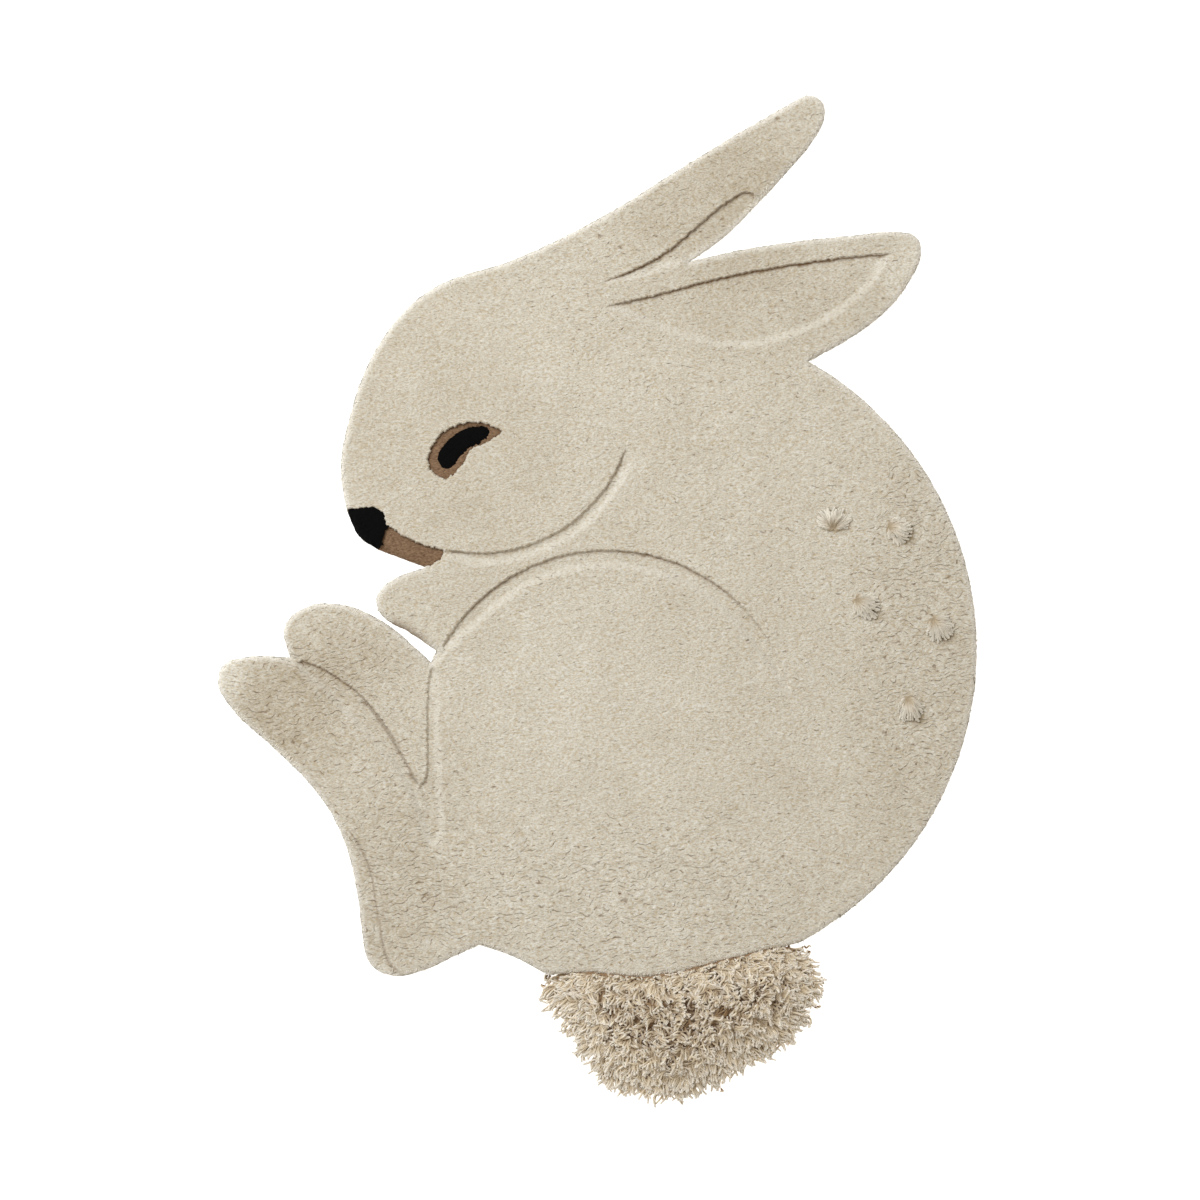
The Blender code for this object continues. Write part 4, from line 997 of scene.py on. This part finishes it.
def long_wool(name, root, body, tip):
    """Long loose yarn, with painted shade: brown at the root and where it stands in its neighbours' shade,
    cream along its length, and paler and greyer towards the tips. Each strand took the dye a little
    differently."""
    material, tree, shader = new_material(name)
    place = add(tree, "ShaderNodeTexCoord").outputs["Object"]
    along, shade, deep = (
        add(tree, "ShaderNodeAttribute", attribute_name=label).outputs["Fac"]
        for label in ("along", "shade", "deep")
    )
    root, body, tip = (linear(code) for code in (root, body, tip))
    low = add(tree, "ShaderNodeMapRange", {"Value": along, **STEM_RANGE})
    high = add(tree, "ShaderNodeMapRange", {"Value": along, **TIP_RANGE})
    stem = add(tree, "ShaderNodeMix", {"Factor": low, "A": root, "B": body}, data_type="RGBA")
    whole = add(tree, "ShaderNodeMix", {"Factor": high, "A": stem, "B": tip}, data_type="RGBA")
    specks = add(tree, "ShaderNodeTexNoise", {"Vector": place, "Scale": 1 / SPECK, "Detail": 2.0})
    speckled = {0: specks.outputs["Fac"], 1: SPECK_CONTRAST, 2: SPECK_LEVEL}
    uneven = add(tree, "ShaderNodeMath", speckled, operation="MULTIPLY_ADD")
    varied = add(tree, "ShaderNodeMath", {0: shade, 1: STRAND_CONTRAST, 2: uneven}, operation="MULTIPLY_ADD")
    sunken = add(tree, "ShaderNodeMix", {"Factor": deep, "A": whole, "B": root}, data_type="RGBA")
    colour = add(tree, "ShaderNodeVectorMath", {0: sunken, "Scale": varied}, operation="SCALE")
    tree.links.new(colour.outputs["Vector"], shader.inputs["Base Color"])
    set_finish(shader, WOOL_FINISH, YARN_SHEEN)
    return material


def cotton_cloth(name, light, dark):
    """Plain woven cotton under the rug, with matt round threads over and under each other."""
    material, tree, shader = new_material(name)
    place = add(tree, "ShaderNodeTexCoord").outputs["Object"]
    threads = {"Vector": place, "Scale": WAVES_PER_METRE / THREAD}
    warp, weft = (
        add(tree, "ShaderNodeTexWave", threads, bands_direction=axis).outputs["Fac"] for axis in "XY"
    )
    weave = add(tree, "ShaderNodeMath", {0: warp, 1: weft}, operation="MULTIPLY")
    shades = {"Factor": weave, "A": linear(dark), "B": linear(light)}
    colour = add(tree, "ShaderNodeMix", shades, data_type="RGBA")
    tree.links.new(socket_of(colour.outputs, "Result"), shader.inputs["Base Color"])
    bump = add(tree, "ShaderNodeBump", {"Height": weave, **CLOTH_BUMP})
    tree.links.new(bump.outputs["Normal"], shader.inputs["Normal"])
    set_finish(shader, CLOTH_FINISH)
    return material


def studio_floor():
    """Matt white paper that glows a little, so that the picture's ground is white."""
    material, _, shader = new_material("white studio paper")
    shader.inputs["Base Color"].default_value = linear(FLOOR_COLOUR)
    shader.inputs["Roughness"].default_value = FLOOR_ROUGHNESS
    shader.inputs["Emission Color"].default_value = (1, 1, 1, 1)
    shader.inputs["Emission Strength"].default_value = FLOOR_GLOW
    return material


CREAM = cut_wool("cream cut wool", light="EBE7DA", dark="CBB997", shadow="7A5C3A", splay="F4F0E6", sheen=0.2)
BROWN = cut_wool("brown cut wool", light="9A7D62", dark="6A503A", shadow="3E2C1C", splay="9A7D62", sheen=0.05)
BLACK = cut_wool("black cut wool", light="0B0A0A", dark="060606", shadow="020202", splay="0B0A0A", sheen=0.0)
# the roots' colours are painted shade: at each strand's foot, and in the gaps round its clump
SHAG = long_wool("shag wool yarn", root="8C6F4C", body="E2D2B5", tip="F0E9DC")
# darker copies of the wool, painted shade for the ground under the long strands
SHAG_PAINTED_SHADE = cut_wool(
    "shag wool in its own shade", light="A5886A", dark="8B6F51", shadow="66503A", splay="A5886A", sheen=0.0
)
TUFT = long_wool("cream tuft yarn", root="B7A68A", body="DCD4C4", tip="E3DCCE")
TUFT_PAINTED_SHADE = cut_wool(
    "tuft wool in its own shade", light="A8957A", dark="8C7960", shadow="5E4C38", splay="A8957A", sheen=0.0
)
RIM_WOOL = long_wool("cream yarn ends at the rim", root="DBD0BA", body="E9E3D5", tip="F1EEE6")
CLOTH = cotton_cloth("cotton backing cloth", light="D9D3C6", dark="A79F8F")
PAPER = studio_floor()
INLAYS = (
    ("nose_inlay", BLACK, "black_wool"),
    ("muzzle_inlay", BROWN, "brown_wool"),
    ("eye_rim_inlay", BROWN, "brown_wool"),
    ("eye_pupil_inlay", BLACK, "black_wool"),
)


# ---- pieces -------------------------------------------------------------------------------------------
def finished(mesh, material, slot, *nodes):
    """Shows a mesh as a piece of the rug, in the place of those nodes."""
    mesh.materials.clear()
    mesh.materials.append(material)
    piece = shown(mesh)
    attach(piece, "root")
    if nodes:
        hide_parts(*nodes)
    return piece


def nap(plan):
    """How much lighter or darker the nap lies at each place, with a painted shadow beside each tuft added in,
    how readily it parts, and how dark the painted shade in its folds is, from soft ovals."""
    tone, parted, folds = np.zeros(len(plan)), np.full(len(plan), PARTED), np.ones(len(plan))
    for _, x, y, half_width, half_height, change, parting, folding in NAP_ZONES:
        away = np.hypot((plan[:, 0] / MM - x) / half_width, (plan[:, 1] / MM - y) / half_height)
        share = np.clip(ZONE_MIDDLE - ZONE_SLOPE * away, 0, 1)
        tone += change * share
        parted += parting * share
        folds += folding * share
    shift, width, darker = TUFT_SHADOW
    for node in TUFT_NODES:
        away = np.linalg.norm(plan - foot_line(node).mean(axis=0) - shift, axis=1) / width
        tone += darker * np.clip(TUFT_SHADOW_SLOPE * (1 - away), 0, 1)
    return tone, parted, folds


def rug_body_pieces(edge, fields, dice):
    """The cream pile, in three closed pieces that meet under their pile."""
    skin = skin_over(edge, "rug_body", PILE_PITCH, dice, fields)
    points, normals, values = grown_skin(skin, CREAM_RELIEF)
    values["tone"], values["parted"], folds = nap(skin.plan)
    values["hollow"] = values["hollow"] * folds
    across = skin.plan[skin.faces][:, :, 1]
    middle = (across.min(axis=1) + across.max(axis=1)) / 2
    cuts = [-math.inf, *np.quantile(middle, [1 / 3, 2 / 3]), math.inf]
    pieces = []
    for name, low, high in zip(BODY_PIECES, cuts, cuts[1:]):
        kept = (middle >= low) & (middle < high)
        mesh = closed_piece(name, skin, points, normals, values, kept)
        pieces.append(finished(mesh, CREAM, "cream_wool", "rug_body"))
    return pieces


def field(name, material, slot, body_edge, dice):
    """A field of dark yarn, a little wider below the cream pile than it shows."""
    edge = fine_edge(foot_line(name), FIELD_PITCH)
    hidden = np.where(distance_from(body_edge, edge) < 2 * FIELD_HIDDEN, 0.0, 1.0)
    for _ in range(FIELD_HIDDEN_EASINGS):
        hidden = (np.roll(hidden, 1) + 2 * hidden + np.roll(hidden, -1)) / 4
    jags = np.array([noise.cell(Vector((x, y, 0)) / TUFT_STEP_PITCH) - 0.5 for x, y in edge])
    edge = moved_in(edge, (FIELD_JAG * jags - FIELD_HIDDEN) * hidden)
    skin = skin_over(edge, name, FIELD_PITCH, dice)
    # a painted shadow along the border where the higher cream pile lies above it and to its left
    shaded = 1.0 - inside(edge, skin.plan + FIELD_SHADOW_SHIFT)
    crease = FIELD_SHADOW * softened(shaded, skin.faces, **SHADE_BLUR)
    crease = np.where(distance_from(body_edge, skin.plan) < 2 * FIELD_HIDDEN, 0, crease)
    skin = skin._replace(hollow=np.maximum(skin.hollow, crease), splayed=0 * skin.splayed)
    mesh = closed_piece("pile_of_" + name, skin, *grown_skin(skin, DARK_RELIEF))
    return finished(mesh, material, slot, name)


def shag_ground(name, node, drop, material, slot, dice):
    """The dense foot of long yarn, below the strands that lie over it, in a darker wool that paints their
    shade.
    """
    edge = fine_edge(foot_line(node), 2 * EDGE_PITCH)
    skin = skin_over(edge, node, 2 * PILE_PITCH, dice)
    lowered = np.maximum(skin.points[:, 2] - drop, PILE_FOOT)
    skin.points[:, 2] = np.where(skin.free > 0, lowered, skin.points[:, 2])
    mesh = closed_piece(name, skin, *grown_skin(skin, SHAG_RELIEF))
    return finished(mesh, material, slot, node)


def tail_pieces(dice):
    """The tail's ground, and its long yarn combed outwards from the seam and tangled in the middle."""
    edge = foot_line("shag_tail")
    pieces = [shag_ground("tail_ground", "shag_tail", TAIL_GROUND_DROP, SHAG_PAINTED_SHADE, "shag_wool", dice)]
    tips = tip_places("shag_tail", edge, TAIL_YARN_PITCH, TAIL_REACH, dice)
    away = distance_from(fine_edge(edge, EDGE_PITCH), tips) * inside(edge, tips)
    outward = tips - np.array(TAIL_ROOT)
    outward /= np.linalg.norm(outward, axis=1)[:, None]
    tangle = np.clip(away / TAIL_COMBED, TAIL_LEAST_TANGLE, 1.0)
    clump, places = clumps(tips, TAIL_LOCK_PITCH, dice)
    clump_turn = dice.normal(0, 1, len(places))[clump]
    direction = turned(outward, TAIL_TANGLE * tangle * clump_turn + dice.normal(0, TAIL_STRAY, len(tips)))
    length = dice.uniform(*TAIL_YARN_LENGTH, len(tips)) * (1 - TAIL_SHORTER * tangle)
    for name, part in zip(("tail_yarn_below", "tail_yarn_above"), (slice(0, None, 2), slice(1, None, 2))):
        laid = tips[part], direction[part], length[part], edge, dice
        mesh = strands(name, *laid, "shag_tail", SHAG, TAIL_YARN, gaps=tangle[part])
        pieces.append(finished(mesh, SHAG, "shag_wool", "shag_tail"))
    return pieces


def tuft_pieces(dice):
    """The small tufts of long yarn on the back, each fanned out from its own root."""
    pieces = []
    for number, (node, (aside, up, wide, high)) in enumerate(zip(TUFT_NODES, TUFTS), start=1):
        edge = foot_line(node)
        middle = edge.mean(axis=0)
        root = middle + np.array([aside, up]) * MM
        rim = middle + (fine_edge(edge, TUFT_YARN_PITCH) - middle) * (wide, high)
        within = moved_in(rim, -TUFT_YARN_MARGIN)
        rim = dice.permutation(rim[np.linalg.norm(rim - root, axis=1) > TUFT_YARN_NEAREST])
        tips = root + (rim - root) * dice.uniform(*TUFT_YARN_SHARES, (len(rim), 1))
        far = np.linalg.norm(tips - root, axis=1)
        direction = turned((tips - root) / far[:, None], dice.normal(0, TUFT_STRAY, len(tips)))
        length = far * dice.uniform(*TUFT_YARN_LENGTHS, len(tips))
        ground = shag_ground(f"tuft_ground_{number}", node, TUFT_GROUND_DROP, TUFT_PAINTED_SHADE, "cream_wool", dice)
        mesh = strands(f"tuft_yarn_{number}", tips, direction, length, within, dice, node, TUFT, TUFT_YARN)
        pieces += [ground, finished(mesh, TUFT, "cream_wool", node)]
    return pieces


def rim_ends(body_edge, fields, dice):
    """Single cut ends that splay outwards over the rug's rim, joined in one piece."""
    bare = np.concatenate([fields, creases(fields)[2]])
    chosen = dice.choice(np.flatnonzero(distance_from(bare, body_edge) > RIM_GAP), RIM_ENDS)
    along = directions_of(body_edge)[chosen]
    outward = np.column_stack([along[:, 1], -along[:, 0]])
    tips = body_edge[chosen] - outward * dice.uniform(*RIM_BAND, RIM_ENDS)[:, None]
    tips += along * dice.uniform(-0.5, 0.5, (RIM_ENDS, 1)) * EDGE_PITCH
    direction = turned(outward, dice.normal(0, RIM_STRAY, RIM_ENDS))
    length = dice.uniform(*RIM_END_LENGTH, RIM_ENDS)
    laid = tips, direction, length, body_edge, dice
    mesh = strands("yarn_ends_at_rim", *laid, "rug_body", RIM_WOOL, RIM_YARN)
    return finished(mesh, RIM_WOOL, "cream_wool", "rug_body")


def backing_cloth(body_edge):
    """The cloth that the yarn is tufted through, cut back a little from the pile's edge."""
    loop = moved_in(body_edge, BACKING_INSET)
    loop = loop[distance_from(body_edge, loop) > BACKING_SHARE * BACKING_INSET]
    count = len(loop)
    rim = [(i, (i + 1) % count) for i in range(count)]
    _, _, faces, *_ = geometry.delaunay_2d_cdt([Vector(p) for p in loop], rim, [], 1, WELD)
    low = np.column_stack([loop, np.zeros(count)])
    high = np.column_stack([loop, np.full(count, BACKING)])
    top = [[i + count for i in face] for face in faces]
    under = [list(reversed(face)) for face in faces]
    here = np.arange(count)
    after = np.roll(here, -1)
    lower = np.column_stack([here, after, after + count])
    upper = np.column_stack([here, after + count, here + count])
    mesh = mesh_from("backing_cloth", np.vstack([low, high]), np.vstack([top, under, lower, upper]), {})
    mesh.shade_flat()
    return finished(mesh, CLOTH, "cream_wool")


# ---- studio -------------------------------------------------------------------------------------------
def floor():
    """The paper under the rug, which belongs to the studio."""
    square = [(-1, -1), (1, -1), (1, 1), (-1, 1)]
    corners = [(x * FLOOR_REACH, y * FLOOR_REACH, FLOOR_LEVEL) for x, y in square]
    mesh = bpy.data.meshes.new("studio_floor")
    mesh.from_pydata(corners, [], [(0, 1, 2, 3)])
    mesh.materials.append(PAPER)
    shown(mesh)


def softbox(name, direction, distance, size, watts, colour):
    """A square lamp that looks at the rug's middle from that direction."""
    light = bpy.data.lights.new(name, "AREA")
    light.size, light.energy, light.color = size, watts, colour
    lamp = shown(light)
    away = Vector(direction).normalized()
    lamp.location = away * distance
    lamp.rotation_euler = away.to_track_quat("Z", "Y").to_euler()


def camera():
    """Straight above the rug, as wide as the photo."""
    view = bpy.data.cameras.new("camera")
    view.sensor_width = SENSOR_MM
    view.lens = SENSOR_MM * CAMERA_HEIGHT / VIEW_WIDTH
    bpy.context.scene.camera = shown(view)
    bpy.context.scene.camera.location = (*VIEW_MIDDLE, cad_high[2] + CAMERA_HEIGHT)


def sky():
    """Even, faintly warm light from all sides."""
    world = bpy.data.worlds.new("studio")
    world.use_nodes = True
    background = world.node_tree.nodes["Background"]
    background.inputs["Color"].default_value = linear(SKY_COLOUR)
    background.inputs["Strength"].default_value = SKY_STRENGTH
    bpy.context.scene.world = world


camera()
sky()
floor()
softbox("key", direction=(-0.62, 0.62, 0.9), distance=4.5, size=2.2, watts=KEY_WATTS, colour=KEY_COLOUR)
bpy.context.scene.view_settings.view_transform = "Standard"

dice = np.random.default_rng(SEED)
noise.seed_set(SEED)  # without it, noise_vector would start from the time of day
body_edge = waved(fine_edge(foot_line("rug_body"), EDGE_PITCH), EDGE_WAVE, EDGE_WAVE_PITCH)
fields = np.concatenate([fine_edge(foot_line(name), FIELD_PITCH) for name in FIELDS])
pile = rug_body_pieces(body_edge, fields, dice) + [rim_ends(body_edge, fields, dice)]
pile += [field(*inlay, body_edge, dice) for inlay in INLAYS]
pile += tail_pieces(dice)
pile += tuft_pieces(dice)
cloth = backing_cloth(body_edge)
